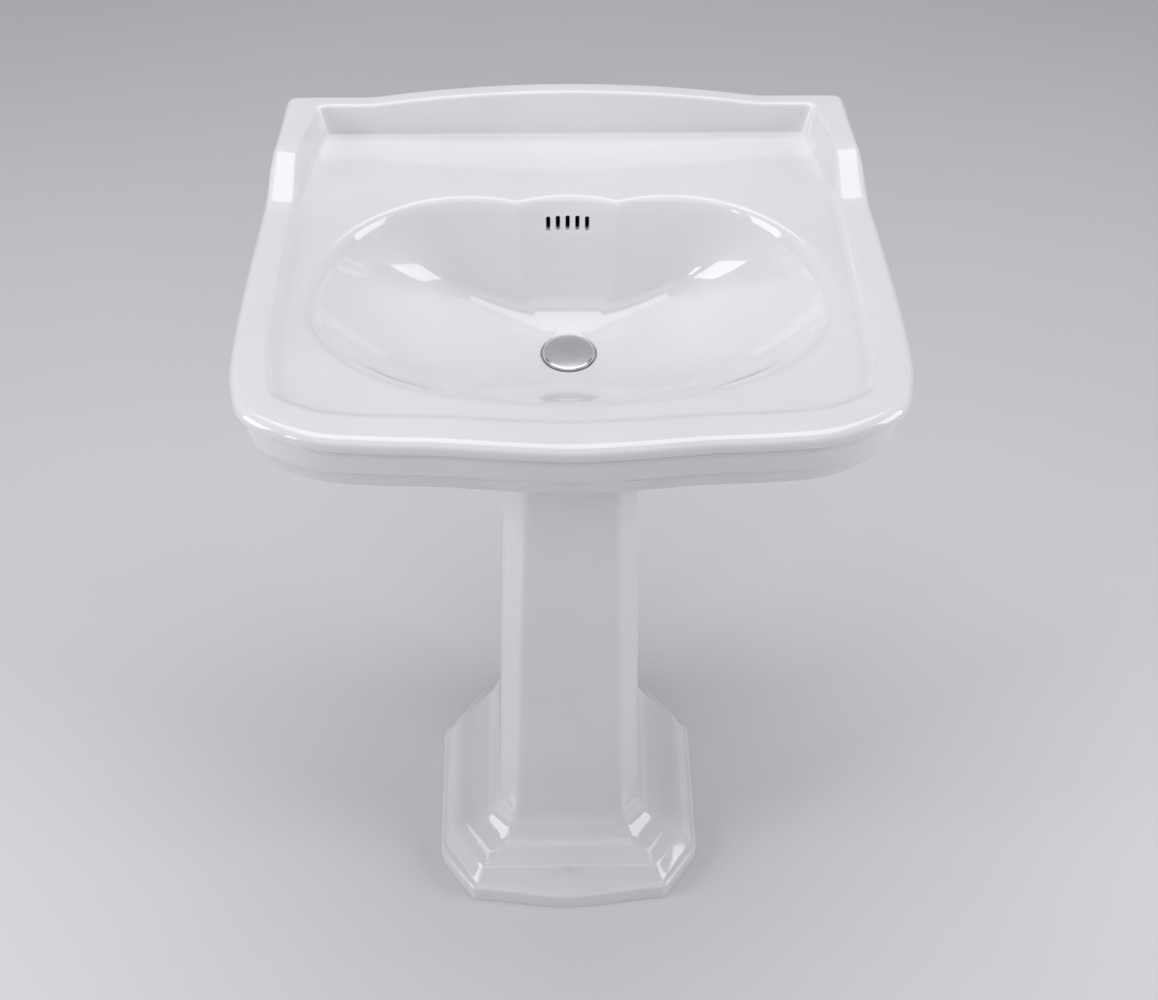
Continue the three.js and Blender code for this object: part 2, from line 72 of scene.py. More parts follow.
def make_camera():
    level = Vector((math.sin(YAW), math.cos(YAW), 0))
    ahead = math.cos(PITCH) * level - math.sin(PITCH) * Vector((0, 0, 1))
    right = Vector((math.cos(YAW), -math.sin(YAW), 0))
    above = right.cross(ahead)
    side = math.cos(ROLL) * right + math.sin(ROLL) * above
    top = -math.sin(ROLL) * right + math.cos(ROLL) * above
    data = bpy.data.cameras.new("view")
    data.lens = LENS
    camera = bpy.data.objects.new("view", data)
    camera.matrix_world = Matrix((side, top, -ahead)).transposed().to_4x4()
    camera.location = EYE
    bpy.context.scene.collection.objects.link(camera)
    bpy.context.scene.camera = camera


make_camera()

# %% [markdown]
# ## Shader helpers
# Each finish is a node tree. These helpers add a node, set its plain values and wire it up, so
# that a finish reads as a short list of what it does.


# %% Node helpers
def add_node(tree, kind, inputs=None, **settings):
    node = tree.nodes.new(kind)
    for key, value in settings.items():
        setattr(node, key, value)
    for key, value in (inputs or {}).items():
        if isinstance(value, bpy.types.NodeSocket):
            tree.links.new(value, node.inputs[key])
        else:
            node.inputs[key].default_value = value
    return node


def start_group(name, inputs, outputs):
    tree = bpy.data.node_groups.new(name, "ShaderNodeTree")
    for label, kind, value in inputs:
        socket = tree.interface.new_socket(label, in_out="INPUT", socket_type=kind)
        socket.default_value = value
    for label, kind in outputs:
        tree.interface.new_socket(label, in_out="OUTPUT", socket_type=kind)
    return tree, add_node(tree, "NodeGroupInput"), add_node(tree, "NodeGroupOutput")


def noise(tree, vector, scale, detail=3.0, roughness=0.55):
    inputs = {"Vector": vector, "Scale": scale, "Detail": detail, "Roughness": roughness}
    return add_node(tree, "ShaderNodeTexNoise", inputs).outputs["Fac"]


def remap(tree, value, low, high, to_low=0.0, to_high=1.0):
    inputs = {"Value": value, "From Min": low, "From Max": high, "To Min": to_low, "To Max": to_high}
    return add_node(tree, "ShaderNodeMapRange", inputs, clamp=True).outputs["Result"]


def math_node(tree, operation, a, b=0.0):
    return add_node(tree, "ShaderNodeMath", {0: a, 1: b}, operation=operation).outputs["Value"]


def multiply(tree, a, b):
    return math_node(tree, "MULTIPLY", a, b)


def mix_colour(tree, factor, a, b):
    sockets = {0: factor, 6: a, 7: b}  # the colour sockets of a Mix node
    return add_node(tree, "ShaderNodeMix", sockets, data_type="RGBA").outputs[2]


def object_place(tree):
    return add_node(tree, "ShaderNodeTexCoord").outputs["Object"]


def surface_normal(tree):
    return add_node(tree, "ShaderNodeNewGeometry").outputs["Normal"]


def axes(tree, vector):
    split = add_node(tree, "ShaderNodeSeparateXYZ", {"Vector": vector}).outputs
    return split["X"], split["Y"], split["Z"]


def bump(tree, height, strength, distance):
    inputs = {"Height": height, "Strength": strength, "Distance": distance}
    return add_node(tree, "ShaderNodeBump", inputs).outputs["Normal"]


# %% [markdown]
# ## Effects that several finishes share
# Three effects turn up again and again: soft smudges that change the gloss, a fine grain that
# roughens a surface, and a film of dust or lime that settles. Each is a node group, built once.


# %% Smudges, grain and settled film
FLOAT, VECTOR = "NodeSocketFloat", "NodeSocketVector"


def make_smudges():
    inputs = [("Scale", FLOAT, 9.0), ("Low", FLOAT, 0.05), ("High", FLOAT, 0.12)]
    outputs = [("Roughness", FLOAT), ("Mask", FLOAT)]
    tree, source, sink = start_group("smudges", inputs, outputs)
    place = object_place(tree)
    wide = noise(tree, place, source.outputs["Scale"], 4.0)
    fine = noise(tree, place, multiply(tree, source.outputs["Scale"], 14.0), 2.0)
    blend = math_node(tree, "ADD", multiply(tree, wide, 0.75), multiply(tree, fine, 0.25))
    mask = remap(tree, blend, 0.4, 0.68)
    inputs = {"Value": mask, "To Min": source.outputs["Low"], "To Max": source.outputs["High"]}
    rough = add_node(tree, "ShaderNodeMapRange", inputs).outputs["Result"]
    tree.links.new(rough, sink.inputs["Roughness"])
    tree.links.new(mask, sink.inputs["Mask"])
    return tree


def make_grain():
    inputs = [("Scale", FLOAT, 900.0), ("Depth", FLOAT, 0.5)]
    tree, source, sink = start_group("grain", inputs, [("Normal", VECTOR), ("Mask", FLOAT)])
    fine = noise(tree, object_place(tree), source.outputs["Scale"], 3.0, 0.7)
    tree.links.new(bump(tree, fine, source.outputs["Depth"], 0.0002), sink.inputs["Normal"])
    tree.links.new(fine, sink.inputs["Mask"])
    return tree


def make_film():
    inputs = [("Amount", FLOAT, 0.3), ("Scale", FLOAT, 20.0)]
    tree, source, sink = start_group("settled_film", inputs, [("Mask", FLOAT)])
    place = object_place(tree)
    flat = remap(tree, axes(tree, surface_normal(tree))[2], 0.6, 1.0)
    patchy = remap(tree, noise(tree, place, source.outputs["Scale"], 5.0, 0.65), 0.35, 0.75)
    film = multiply(tree, multiply(tree, flat, patchy), source.outputs["Amount"])
    tree.links.new(film, sink.inputs["Mask"])
    return tree


SMUDGES, GRAIN, FILM = make_smudges(), make_grain(), make_film()


def use_group(tree, group, **inputs):
    node = tree.nodes.new("ShaderNodeGroup")
    node.node_tree = group
    for key, value in inputs.items():
        node.inputs[key].default_value = value
    return node.outputs


# %% [markdown]
# ## The glaze
# Sanitary ware is a dense white clay under a clear glass. The glass is smooth but never quite
# flat: it ripples very gently, which bends reflections, and it carries a few pinholes. Where
# the piece stood in the kiln, and against the wall, it is wiped clean and shows bare clay.


# %% Glazed ceramic
def start_material(name, **constants):
    material = bpy.data.materials.new(name)
    material.use_nodes = True
    tree = material.node_tree
    shader = tree.nodes["Principled BSDF"]
    for key, value in constants.items():
        shader.inputs[key.replace("_", " ")].default_value = value
    return material, tree, shader


def bare_clay_mask(tree, place, facing):
    """1 on the flat wall face and on the underside that stands on the floor."""
    _, y, z = axes(tree, place)
    _, facing_y, facing_z = axes(tree, facing)
    at_wall = multiply(tree, remap(tree, y, WALL - 0.0012, WALL - 0.0004),
                       remap(tree, facing_y, 0.8, 0.95))
    at_foot = multiply(tree, remap(tree, z, 0.0012, 0.0004), remap(tree, facing_z, -0.6, -0.9))
    return math_node(tree, "MAXIMUM", at_wall, at_foot)


def overflow_painted_shade_mask(tree, place):
    """1 inside the overflow's waterway, where the clay is painted near black as painted shade and made
    rough.
    """
    x, y, z = axes(tree, place)
    across = remap(tree, math_node(tree, "ABSOLUTE", x), 0.0275, 0.0265)
    deep = multiply(tree, remap(tree, y, 0.1045, 0.1065), remap(tree, y, 0.1325, 0.1315))
    tall = multiply(tree, remap(tree, z, 0.823, 0.822), remap(tree, z, 0.740, 0.745))
    return multiply(tree, multiply(tree, deep, across), tall)


def make_glaze():
    material, tree, shader = start_material("white_glaze", IOR=1.52, Coat_Weight=0.35,
                                            Coat_Roughness=0.03, Coat_IOR=1.5)
    place = object_place(tree)
    clay = bare_clay_mask(tree, place, surface_normal(tree))
    # Mask for the painted shade inside the overflow's waterway.
    painted_shade_in_overflow = overflow_painted_shade_mask(tree, place)
    film = use_group(tree, FILM, Amount=0.10, Scale=14.0)["Mask"]
    cells = add_node(tree, "ShaderNodeTexVoronoi", {"Vector": place, "Scale": 60.0})
    pick = remap(tree, noise(tree, place, 37.0, 0.0), 0.70, 0.72)
    speck = multiply(tree, remap(tree, cells.outputs["Distance"], 0.035, 0.015), pick)

    cloud = remap(tree, noise(tree, place, 5.0, 3.0), 0.35, 0.7)
    colour = mix_colour(tree, cloud, (0.80, 0.80, 0.825, 1), (0.755, 0.757, 0.79, 1))
    colour = mix_colour(tree, speck, colour, (0.30, 0.27, 0.24, 1))
    colour = mix_colour(tree, film, colour, (0.62, 0.61, 0.60, 1))
    mottle = noise(tree, place, 120.0, 4.0)
    biscuit = mix_colour(tree, mottle, (0.60, 0.56, 0.50, 1), (0.72, 0.69, 0.64, 1))
    colour = mix_colour(tree, clay, colour, biscuit)
    # Painted shade: the overflow's waterway is painted near black in place of the shade deep inside it.
    colour = mix_colour(tree, painted_shade_in_overflow, colour, (0.035, 0.032, 0.028, 1))
    tree.links.new(colour, shader.inputs["Base Color"])

    smudge = use_group(tree, SMUDGES, Scale=6.0, Low=0.035, High=0.085)["Roughness"]
    rough = math_node(tree, "ADD", smudge, multiply(tree, film, 0.5))
    rough = math_node(tree, "MAXIMUM", rough, multiply(tree, clay, 0.85))
    rough = math_node(tree, "MAXIMUM", rough, multiply(tree, painted_shade_in_overflow, 0.75))
    tree.links.new(rough, shader.inputs["Roughness"])

    ripple = noise(tree, place, 26.0, 1.0)
    grit = multiply(tree, noise(tree, place, 700.0, 3.0), multiply(tree, clay, 0.5))
    pit = multiply(tree, speck, -0.4)
    height = math_node(tree, "ADD", math_node(tree, "ADD", ripple, grit), pit)
    tree.links.new(bump(tree, height, 0.35, 0.0007), shader.inputs["Normal"])
    return material


GLAZE = make_glaze()

# %% [markdown]
# ## Metals, rubber and plastics
# Polished chrome shows smudges and hairline scratches. The waste cap is different: its face is
# brushed in circles to a satin and only its edge is polished. Brass dulls in patches, zinc
# plating has a faint spangle, and rubber, foam and nylon are matt with a fine grain.


# %% The other finishes
def metal(name, bright, dull, low, high, scale=18.0, grain=900.0, depth=0.12):
    material, tree, shader = start_material(name, Metallic=1.0)
    smudge = use_group(tree, SMUDGES, Scale=scale, Low=low, High=high)
    tree.links.new(smudge["Roughness"], shader.inputs["Roughness"])
    colour = mix_colour(tree, smudge["Mask"], (*bright, 1), (*dull, 1))
    tree.links.new(colour, shader.inputs["Base Color"])
    skin = use_group(tree, GRAIN, Scale=grain, Depth=depth)["Normal"]
    tree.links.new(skin, shader.inputs["Normal"])
    return material


def soft_finish(name, light, dark, low, high, grain=1200.0, depth=0.6, film=0.15):
    material, tree, shader = start_material(name)
    skin = use_group(tree, GRAIN, Scale=grain, Depth=depth)
    dust = use_group(tree, FILM, Amount=film, Scale=40.0)["Mask"]
    colour = mix_colour(tree, skin["Mask"], (*dark, 1), (*light, 1))
    colour = mix_colour(tree, dust, colour, (0.45, 0.44, 0.42, 1))
    tree.links.new(colour, shader.inputs["Base Color"])
    rough = use_group(tree, SMUDGES, Scale=30.0, Low=low, High=high)["Roughness"]
    tree.links.new(rough, shader.inputs["Roughness"])
    tree.links.new(skin["Normal"], shader.inputs["Normal"])
    return material


def make_satin_cap(edge):
    """Chrome, brushed in circles inside the radius 'edge' and polished outside it."""
    material, tree, shader = start_material("satin_cap", Metallic=1.0)
    x, y, _ = axes(tree, object_place(tree))
    square = math_node(tree, "ADD", math_node(tree, "POWER", x, 2.0), math_node(tree, "POWER", y, 2.0))
    radius = math_node(tree, "SQRT", square)
    face = remap(tree, radius, edge, edge - 0.0015)
    rings = add_node(tree, "ShaderNodeCombineXYZ", {"X": multiply(tree, radius, 2600.0)})
    brushed = noise(tree, rings.outputs["Vector"], 1.0, 4.0, 0.7)
    smudge = use_group(tree, SMUDGES, Scale=40.0, Low=0.05, High=0.11)["Roughness"]
    satin = multiply(tree, remap(tree, brushed, 0.3, 0.7, 0.20, 0.32), face)
    tree.links.new(math_node(tree, "ADD", satin, smudge), shader.inputs["Roughness"])
    colour = mix_colour(tree, face, (0.80, 0.81, 0.82, 1), (0.55, 0.555, 0.57, 1))
    tree.links.new(colour, shader.inputs["Base Color"])
    tree.links.new(bump(tree, multiply(tree, brushed, face), 0.25, 0.0001), shader.inputs["Normal"])
    return material


CAP_FACE = 28.2  # radius of the waste cap's brushed face, in millimetres
CHROME = metal("chrome", (0.80, 0.81, 0.83), (0.72, 0.73, 0.75), 0.035, 0.13)
SATIN = make_satin_cap(CAP_FACE * MM)
BRASS = metal("turned_brass", (0.78, 0.62, 0.30), (0.52, 0.38, 0.18), 0.16, 0.42, 60.0)
ZINC = metal("zinc_plate", (0.70, 0.71, 0.72), (0.50, 0.50, 0.48), 0.24, 0.46, 90.0, 1500.0, 0.4)
RUBBER = soft_finish("black_rubber", (0.045, 0.045, 0.048), (0.02, 0.02, 0.022), 0.55, 0.8)
FOAM = soft_finish("white_foam", (0.72, 0.70, 0.65), (0.52, 0.50, 0.46), 0.8, 0.95, 2200.0, 1.0)
NYLON = soft_finish("natural_nylon", (0.74, 0.73, 0.69), (0.64, 0.63, 0.59), 0.35, 0.5, 700.0, 0.3)
print("finishes:", len(bpy.data.materials))

# %% [markdown]
# ## Mesh helpers
# Two ideas make almost every piece. A turned piece is a wire profile spun round an axis. A
# lofted piece is a stack of rings with equal point counts: a grid is made with one operator and
# its rows are laid on the rings, and doubles are merged where the rings close on themselves.


# %% Curves and rings
def through(points, density=24):
    """A smooth curve through given points, as a dense polyline (Catmull-Rom)."""
    p = np.array(points, float)
    ends = np.vstack([2 * p[0] - p[1], p, 2 * p[-1] - p[-2]])
    t = np.linspace(0, 1, density, endpoint=False)[:, None]
    pieces = []
    for a, b, c, d in zip(ends, ends[1:], ends[2:], ends[3:]):
        pieces.append(0.5 * (2 * b + (c - a) * t + (2 * a - 5 * b + 4 * c - d) * t**2
                             + (3 * b - a - 3 * c + d) * t**3))
    return np.vstack([*pieces, p[-1:]])


def running_length(points):
    steps = np.linalg.norm(np.diff(points, axis=0), axis=1)
    return np.concatenate([[0], np.cumsum(steps)])


def resample(points, count):
    """The same polyline with 'count' equal steps."""
    p = np.array(points, float)
    run = running_length(p)
    at = np.linspace(0, run[-1], count + 1)
    return np.column_stack([np.interp(at, run, p[:, k]) for k in range(p.shape[1])])


def join_runs(runs):
    return np.vstack([runs[0], *[run[1:] for run in runs[1:]]])


def whole(half):
    """A closed ring from its right half, which runs from back to front."""
    flip = np.ones(half.shape[1])
    flip[0] = -1
    return np.vstack([half, half[-2:0:-1] * flip])


def ramp(low, high, value):
    t = np.clip((np.asarray(value, float) - low) / (high - low), 0, 1)
    return t * t * (3 - 2 * t)


def lift(points, z):
    return np.column_stack([points[:, 0], points[:, 1], np.broadcast_to(z, len(points))])


def curve3(a, b, c, steps):
    """Points on the curve that leaves a towards b and arrives at c."""
    for t in np.linspace(0, 1, steps + 1):
        yield (1 - t)**2 * a + 2 * t * (1 - t) * b + t * t * c


def bezier(a, b, c, d, t):
    s = 1 - t
    return s**3 * a + 3 * s * s * t * b + 3 * s * t * t * c + t**3 * d


# %% Bmesh helpers
ON_AXIS = 1e-6  # a profile point nearer the axis than this lies on it


def loft(rings, wrap=True):
    """Lays the rows of a grid on the rings, given in millimetres; 'wrap' closes each ring."""
    rows = np.array([np.vstack([ring, ring[:1]]) if wrap else ring for ring in rings]) * MM
    bm = bmesh.new()
    bmesh.ops.create_grid(bm, x_segments=rows.shape[1] - 1, y_segments=rows.shape[0] - 1, size=1)
    bm.verts.ensure_lookup_table()
    for vert, place in zip(bm.verts, rows.reshape(-1, 3)):
        vert.co = place
    return bm


def tidy(bm, distance=1e-6):
    """Merges doubled points, drops slivers and turns every face outwards."""
    bmesh.ops.remove_doubles(bm, verts=bm.verts, dist=distance)
    bmesh.ops.dissolve_degenerate(bm, edges=bm.edges, dist=1e-7)
    bmesh.ops.recalc_face_normals(bm, faces=bm.faces)


def to_object(bm, name, material, sharp=None):
    mesh = bpy.data.meshes.new(name)
    bm.to_mesh(mesh)
    bm.free()
    mesh.materials.append(material)
    mesh.shade_smooth()
    if sharp:
        mesh.set_sharp_from_angle(angle=math.radians(sharp))
    piece = bpy.data.objects.new(name, mesh)
    bpy.context.scene.collection.objects.link(piece)
    return piece


def stand_in(piece, node):
    """The piece takes the node's place and its body, and the node is hidden."""
    body = next(b for b, nodes in frame["record"]["behaviour"]["bodies"].items() if node in nodes)
    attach(piece, body)
    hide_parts(node)
    print(f"{piece.name}: {len(piece.data.polygons)} faces on {body}")


def round_corners(profile, radius, steps=3):
    """Rounds each corner of a closed outline of points with a short curve."""
    p = np.array(profile, float)
    out = []
    for before, corner, after in zip(np.roll(p, 1, 0), p, np.roll(p, -1, 0)):
        if corner[0] < ON_AXIS:
            out.append(corner)
            continue
        lengths = [np.linalg.norm(before - corner), np.linalg.norm(after - corner)]
        cut = min(radius, 0.4 * min(lengths))
        a = corner + (before - corner) / lengths[0] * cut
        c = corner + (after - corner) / lengths[1] * cut
        out += list(curve3(a, corner, c, steps))
    return np.array(out)


def turned(profile, steps=64, radius=0.6, lying_at=None):
    """Spins a closed outline of (radius, height) in millimetres round the waste's axis.

    With lying_at = (x, y, z) the piece is laid down so that its height runs towards the wall.
    """
    outline = round_corners(profile, radius) if radius else np.array(profile, float)
    bm = bmesh.new()
    verts = [bm.verts.new((r * MM, 0, z * MM)) for r, z in outline]
    on_axis = [r < ON_AXIS for r, _ in outline]
    edges = []
    for i, vert in enumerate(verts):
        j = (i + 1) % len(verts)
        if not (on_axis[i] and on_axis[j]):
            edges.append(bm.edges.new((vert, verts[j])))
    bmesh.ops.spin(bm, geom=verts + edges, axis=(0, 0, 1), cent=(0, 0, 0), steps=steps,
                   angle=2 * math.pi, use_merge=True)
    tidy(bm)
    if lying_at is not None:
        lay_down(bm, lying_at)
    return bm


def lay_down(bm, place):
    bmesh.ops.rotate(bm, verts=bm.verts, matrix=Matrix.Rotation(-math.pi / 2, 3, "X"))
    bmesh.ops.translate(bm, verts=bm.verts, vec=Vector(place) * MM)


def add_turned(name, node, finish, profile, steps=64, radius=0.6, lying_at=None):
    stand_in(to_object(turned(profile, steps, radius, lying_at), name, finish, 40), node)


def flutes(bm, count, depth, beyond, span):
    """Scallops the outside of a turned piece, past the radius 'beyond' and within 'span'."""
    for vert in bm.verts:
        radius = math.hypot(vert.co.x, vert.co.y)
        if radius > beyond * MM and span[0] * MM <= vert.co.z <= span[1] * MM:
            wave = 0.5 - 0.5 * math.cos(count * math.atan2(vert.co.y, vert.co.x))
            scale = 1 - depth * MM * wave**3 / radius
            vert.co.x *= scale
            vert.co.y *= scale


def thread(radius, low, high, pitch, depth, steps=24):
    """A helical ridge round the waste's axis: a small triangle spun upwards."""
    bm = bmesh.new()
    tooth = [(radius - 0.2, low), (radius + depth, low + 0.45 * pitch), (radius - 0.2, low + 0.9 * pitch)]
    face = bm.faces.new([bm.verts.new((r * MM, 0, z * MM)) for r, z in tooth])
    turns = int((high - low) / pitch) - 1
    bmesh.ops.spin(bm, geom=[face, *face.edges, *face.verts], axis=(0, 0, 1), cent=(0, 0, 0),
                   steps=turns * steps, angle=2 * math.pi * turns, dvec=(0, 0, pitch * MM / steps))
    bmesh.ops.recalc_face_normals(bm, faces=bm.faces)
    return bm


def merge_into(bm, *others):
    """Adds the other meshes to the first one."""
    for other in others:
        mesh = bpy.data.meshes.new("part")
        other.to_mesh(mesh)
        other.free()
        bm.from_mesh(mesh)
        bpy.data.meshes.remove(mesh)
    return bm

# %% [markdown]
# ## The basin's outlines
# The basin is slip-cast, so every edge is soft. Four outlines fix it: the outer edge, the foot of
# the rim, the edge of the bowl and the round drain. Each is drawn as a right half from the middle
# of the back to the middle of the front, in five runs with the same point counts, so that a ring
# of one outline always lines up with a ring of the next. The bowl's own edge is three arcs at the
# back, which meet in two soft creases, and one long sweep round the front.

# %% Outlines in plan
WALL_Y, RIM_Z, END_Z, DECK_Z = 250, 850, 880, 840
UPSTAND, SHELL, SKIRT_Z = 24, 12, 764
COUNTS = (10, 24, 5, 20, 38)  # middle, back, corner, side, front
CORNER_ENDS = (34, 39)
CREASE_X = 55  # the two creases in the back of the bowl


def graded(points, count, power):
    """Equal steps that are bunched towards the start (power over 1) or the end (under 0)."""
    fine = resample(points, 200)
    t = np.linspace(0, 1, count + 1)
    t = t**power if power > 0 else 1 - (1 - t)**(-power)
    return np.column_stack([np.interp(t, np.linspace(0, 1, 201), fine[:, k]) for k in range(2)])


def runs_to_half(middle, back, corner, side, front):
    return join_runs([graded(middle, COUNTS[0], -1.5), graded(back, COUNTS[1], 1.3),
                      *map(resample, (corner, side, front), COUNTS[2:])])


def quarter(x, y, radius):
    a = np.radians(np.linspace(90, 3, 12))
    return np.column_stack([x + radius * np.cos(a), y + radius * np.sin(a)])


def sideways(points):
    """Unit vectors that point out of the outline, at each of its points."""
    along = np.gradient(points, axis=0)
    along /= np.linalg.norm(along, axis=1)[:, None]
    return np.column_stack([-along[:, 1], along[:, 0]])


flank = through([(323.4, 243), (330, 150), (338, 80), (347, -60), (350, -155), (346, -210),
                 (328, -258), (266, -292), (200, -301), (135, -304), (65, -311), (0, -315),
                 (-65, -311)])[:-24]
outer_side, outer_front = flank[:97], flank[96:]
inward = np.linspace(50, 57, len(outer_front))[:, None]
deck_front = outer_front - sideways(outer_front) * inward
deck_front[-1, 0] = 0
deck_side = through([(277.5, 210), (287, 180), (292.5, 150), (295, 90), (297.5, 0), (299.5, -100),
                     deck_front[0]])
deck_y = WALL_Y - UPSTAND


def straight_back(y, end):
    return [(0, y), (CREASE_X, y)], [(CREASE_X, y), (end, y)]


OUTER = runs_to_half(*straight_back(WALL_Y, 316.4), quarter(316.4, 243, 7), outer_side, outer_front)
DECK = runs_to_half(*straight_back(deck_y, 261.5), quarter(261.5, 210, 16), deck_side, deck_front)


# %% The bowl's edge
NICHE = {"y": -30, "r": 137}  # the arc between the creases
LOBE = {"x": 112, "y": -65, "a": 165, "b": 170.5}  # the arc beyond each crease
SWEEP = {"a": 277, "b": 163, "power": 2.15}  # the long curve round the front
SOFTNESS = 1.3  # how far, in millimetres, the creases are rounded


def softened_line(line):
    """The line in steps of about 1 mm, each point averaged with its neighbours."""
    count = int(running_length(line)[-1])
    even = whole(resample(line, count))
    reach = np.arange(-12, 13)
    weights = np.exp(-0.5 * (reach / SOFTNESS)**2)
    weights /= weights.sum()
    soft = sum(w * np.roll(even, k, axis=0) for w, k in zip(weights, reach))[:count + 1]
    soft[[0, -1], 0] = 0
    return soft


def bowl_half(grow=0.0):
    """The bowl's edge, moved outwards by 'grow', with its two creases softened."""
    a = np.linspace(0, math.asin(CREASE_X / NICHE["r"]), 60)
    radius = NICHE["r"] + grow
    middle = np.column_stack([radius * np.sin(a), NICHE["y"] + radius * np.cos(a)])
    a = np.linspace(math.asin((CREASE_X - LOBE["x"]) / LOBE["a"]), math.pi / 2, 300)
    lobe = np.column_stack([LOBE["x"] + (LOBE["a"] + grow) * np.sin(a),
                            LOBE["y"] + (LOBE["b"] + grow) * np.cos(a)])
    lobe = lobe[lobe[:, 0] > middle[-1, 0]]
    a = np.linspace(0, math.pi / 2, 300)[1:]
    power = 2 / SWEEP["power"]
    sweep = np.column_stack([(SWEEP["a"] + grow) * np.cos(a).clip(0)**power,
                             LOBE["y"] - (SWEEP["b"] + grow) * np.sin(a)**power])
    line = np.vstack([middle, lobe, sweep])
    run = running_length(line)
    crease_at = run[len(middle) - 1]
    front_at = run[len(middle) + len(lobe) - 1] + 60
    soft = softened_line(line)
    at = np.linspace(0, run[-1], len(soft))

    def part(start, stop):
        places = np.concatenate([[start], at[(at > start) & (at < stop)], [stop]])
        return np.column_stack([np.interp(places, at, soft[:, k]) for k in range(2)])

    return join_runs([graded(part(0, crease_at), COUNTS[0], -1.5),
                      graded(part(crease_at, front_at), sum(COUNTS[1:4]), 1.12),
                      resample(part(front_at, run[-1]), COUNTS[4])])


EDGE = bowl_half()
BEARING = np.arctan2(EDGE[:, 0], EDGE[:, 1])


def circle_half(radius):
    return np.column_stack([radius * np.sin(BEARING), radius * np.cos(BEARING)])


def inset(side, back=0.0):
    """The outer edge moved inwards by 'side', and at the wall by 'back'."""
    points = OUTER.copy()
    outwards = sideways(OUTER)
    first, last = CORNER_ENDS
    moved = OUTER - outwards * side
    moved[-1, 0] = 0
    shift = OUTER - (side, back)
    points[:first + 1, 0] *= (OUTER[first, 0] - side) / OUTER[first, 0]
    points[:first + 1, 1] -= back
    points[first:last + 1] = shift[first:last + 1]
    blend = ramp(0, 8, np.arange(len(OUTER) - last))[:, None]
    points[last:] = shift[last:] * (1 - blend) + moved[last:] * blend
    if back:
        points[last:, 1] = np.minimum(points[last:, 1], points[last, 1])
    return points


print("outline points:", len(whole(OUTER)), "front at y =", OUTER[-1, 1])

# %% [markdown]
# ## The basin's shell
# The cross-section is followed all the way round the clay: up through the drain, over the bowl,
# deck and rim, down the moulded skirt, and back along the underside. Where the rim meets the wall
# it rises into a bowed upstand. Each point of the section gives one ring, and lofting the rings
# makes a closed shell with a real wall thickness.


# %% Rim, bowl and skirt
def crest_z(x, y):
    """Height of the rim's crest: level at the front, a climb, then the bowed upstand."""
    bow = 16.5 - 17.5 * (x / 225)**2
    at_wall = END_Z + np.maximum(bow, -0.5)
    level = RIM_Z + (END_Z - RIM_Z) * ramp(90, 142, y)
    back = ramp(170, 215, y)
    return level * (1 - back) + at_wall * back


def across_rim(u, width):
    """The outline at the distance 'u' out from the foot of the rim."""
    return DECK + (OUTER - DECK) * (u / width)[:, None]


def rim_rings():
    towards_side = ramp(CORNER_ENDS[0] - 2, CORNER_ENDS[1] + 1, np.arange(len(OUTER)))
    width = 24 + 28 * towards_side
    over = 3 + 8 * towards_side  # radius of the rim's outer edge
    foot_u, top_u = 2.5 + 2.0 * towards_side, 5.2 + 7.3 * towards_side
    foot_z = DECK_Z + 1
    rise = crest_z(*across_rim(top_u, width).T) - foot_z
    length = np.hypot(top_u - foot_u, rise)
    cut = np.minimum(5, 0.46 * length)  # how much of the slope its two rounded ends take
    foot = np.column_stack([foot_u, 0 * rise])
    top = np.column_stack([top_u, rise])
    along = (top - foot) / length[:, None] * cut[:, None]
    level = np.column_stack([cut, 0 * rise])
    rings = []
    for point in [*curve3(foot - level, foot, foot + along, 6),
                  *curve3(top - along, top, top + level, 6)]:
        place = across_rim(point[:, 0], width)
        rings.append(lift(place, foot_z + point[:, 1] / rise * (crest_z(*place.T) - foot_z)))
    turns = np.radians(np.linspace(0, 90, 10))
    edge = [(width - over + over * math.sin(a), over * (1 - math.cos(a))) for a in turns]
    for u, drop in [((top_u + cut + width - over) / 2, 0), *edge, (width, over + 1.2)]:
        place = across_rim(u, width)
        rings.append(lift(place, crest_z(*place.T) - drop))
    return rings


def bowl_ring(t, shell=0.0, top=DECK_Z):
    """One ring down the bowl, from its edge (t = 0) to the drain (t = 1).

    The wall leaves the edge towards its foot and the floor arrives at the drain from it. At the
    back the foot runs nearly straight across, so that the creases die out there.
    """
    edge = bowl_half(shell) if shell else EDGE
    bearing = np.degrees(BEARING)
    opened = ramp(55, 130, bearing)
    reach = np.linalg.norm(edge, axis=1)
    towards_drain = edge * (1 - (26 + 62 * opened) / reach)[:, None]
    straight = np.column_stack([0.955 * edge[:, 0], 27.5 + 0.5 * (edge[:, 1] + shell)])
    blend = ramp(38, 62, bearing)[:, None]
    foot_z = 712 + 34 * ramp(35, 95, bearing) - 22 * ramp(100, 165, bearing) - shell
    foot = lift(straight * (1 - blend) + towards_drain * blend, foot_z)
    pull = (0.92 - 0.30 * opened)[:, None]
    start = lift(edge, top - shell)
    end = lift(circle_half(33.5 + shell), 702.6 - shell)
    return bezier(start, start + (foot - start) * pull, end + (foot - end) * pull, end, t)


# %% Sections of the skirt and the drain
# Inset and level down the outside: a cove, a bead with a fine groove, and two bands.
FASCIA = [(0.1, 836.8), (0.7, 835.2), (2.2, 833.6), (4.6, 832.3), (7.4, 831.2), (9.4, 830.0),
          (10.3, 828.6), (10.1, 827.5), (9.2, 826.8), (8.5, 825.9), (8.2, 824.8), (8.4, 823.7),
          (9.1, 823.0), (9.2, 822.5), (8.9, 821.9), (9.2, 818.0), (11.2, 799.5), (11.9, 796.6),
          (13.4, 794.4), (16.4, 790.6), (18.0, 788.4), (19.8, 785.4), (26.9, 767.0),
          (27.7, 765.3), (28.8, 764.4), (30.5, SKIRT_Z)]
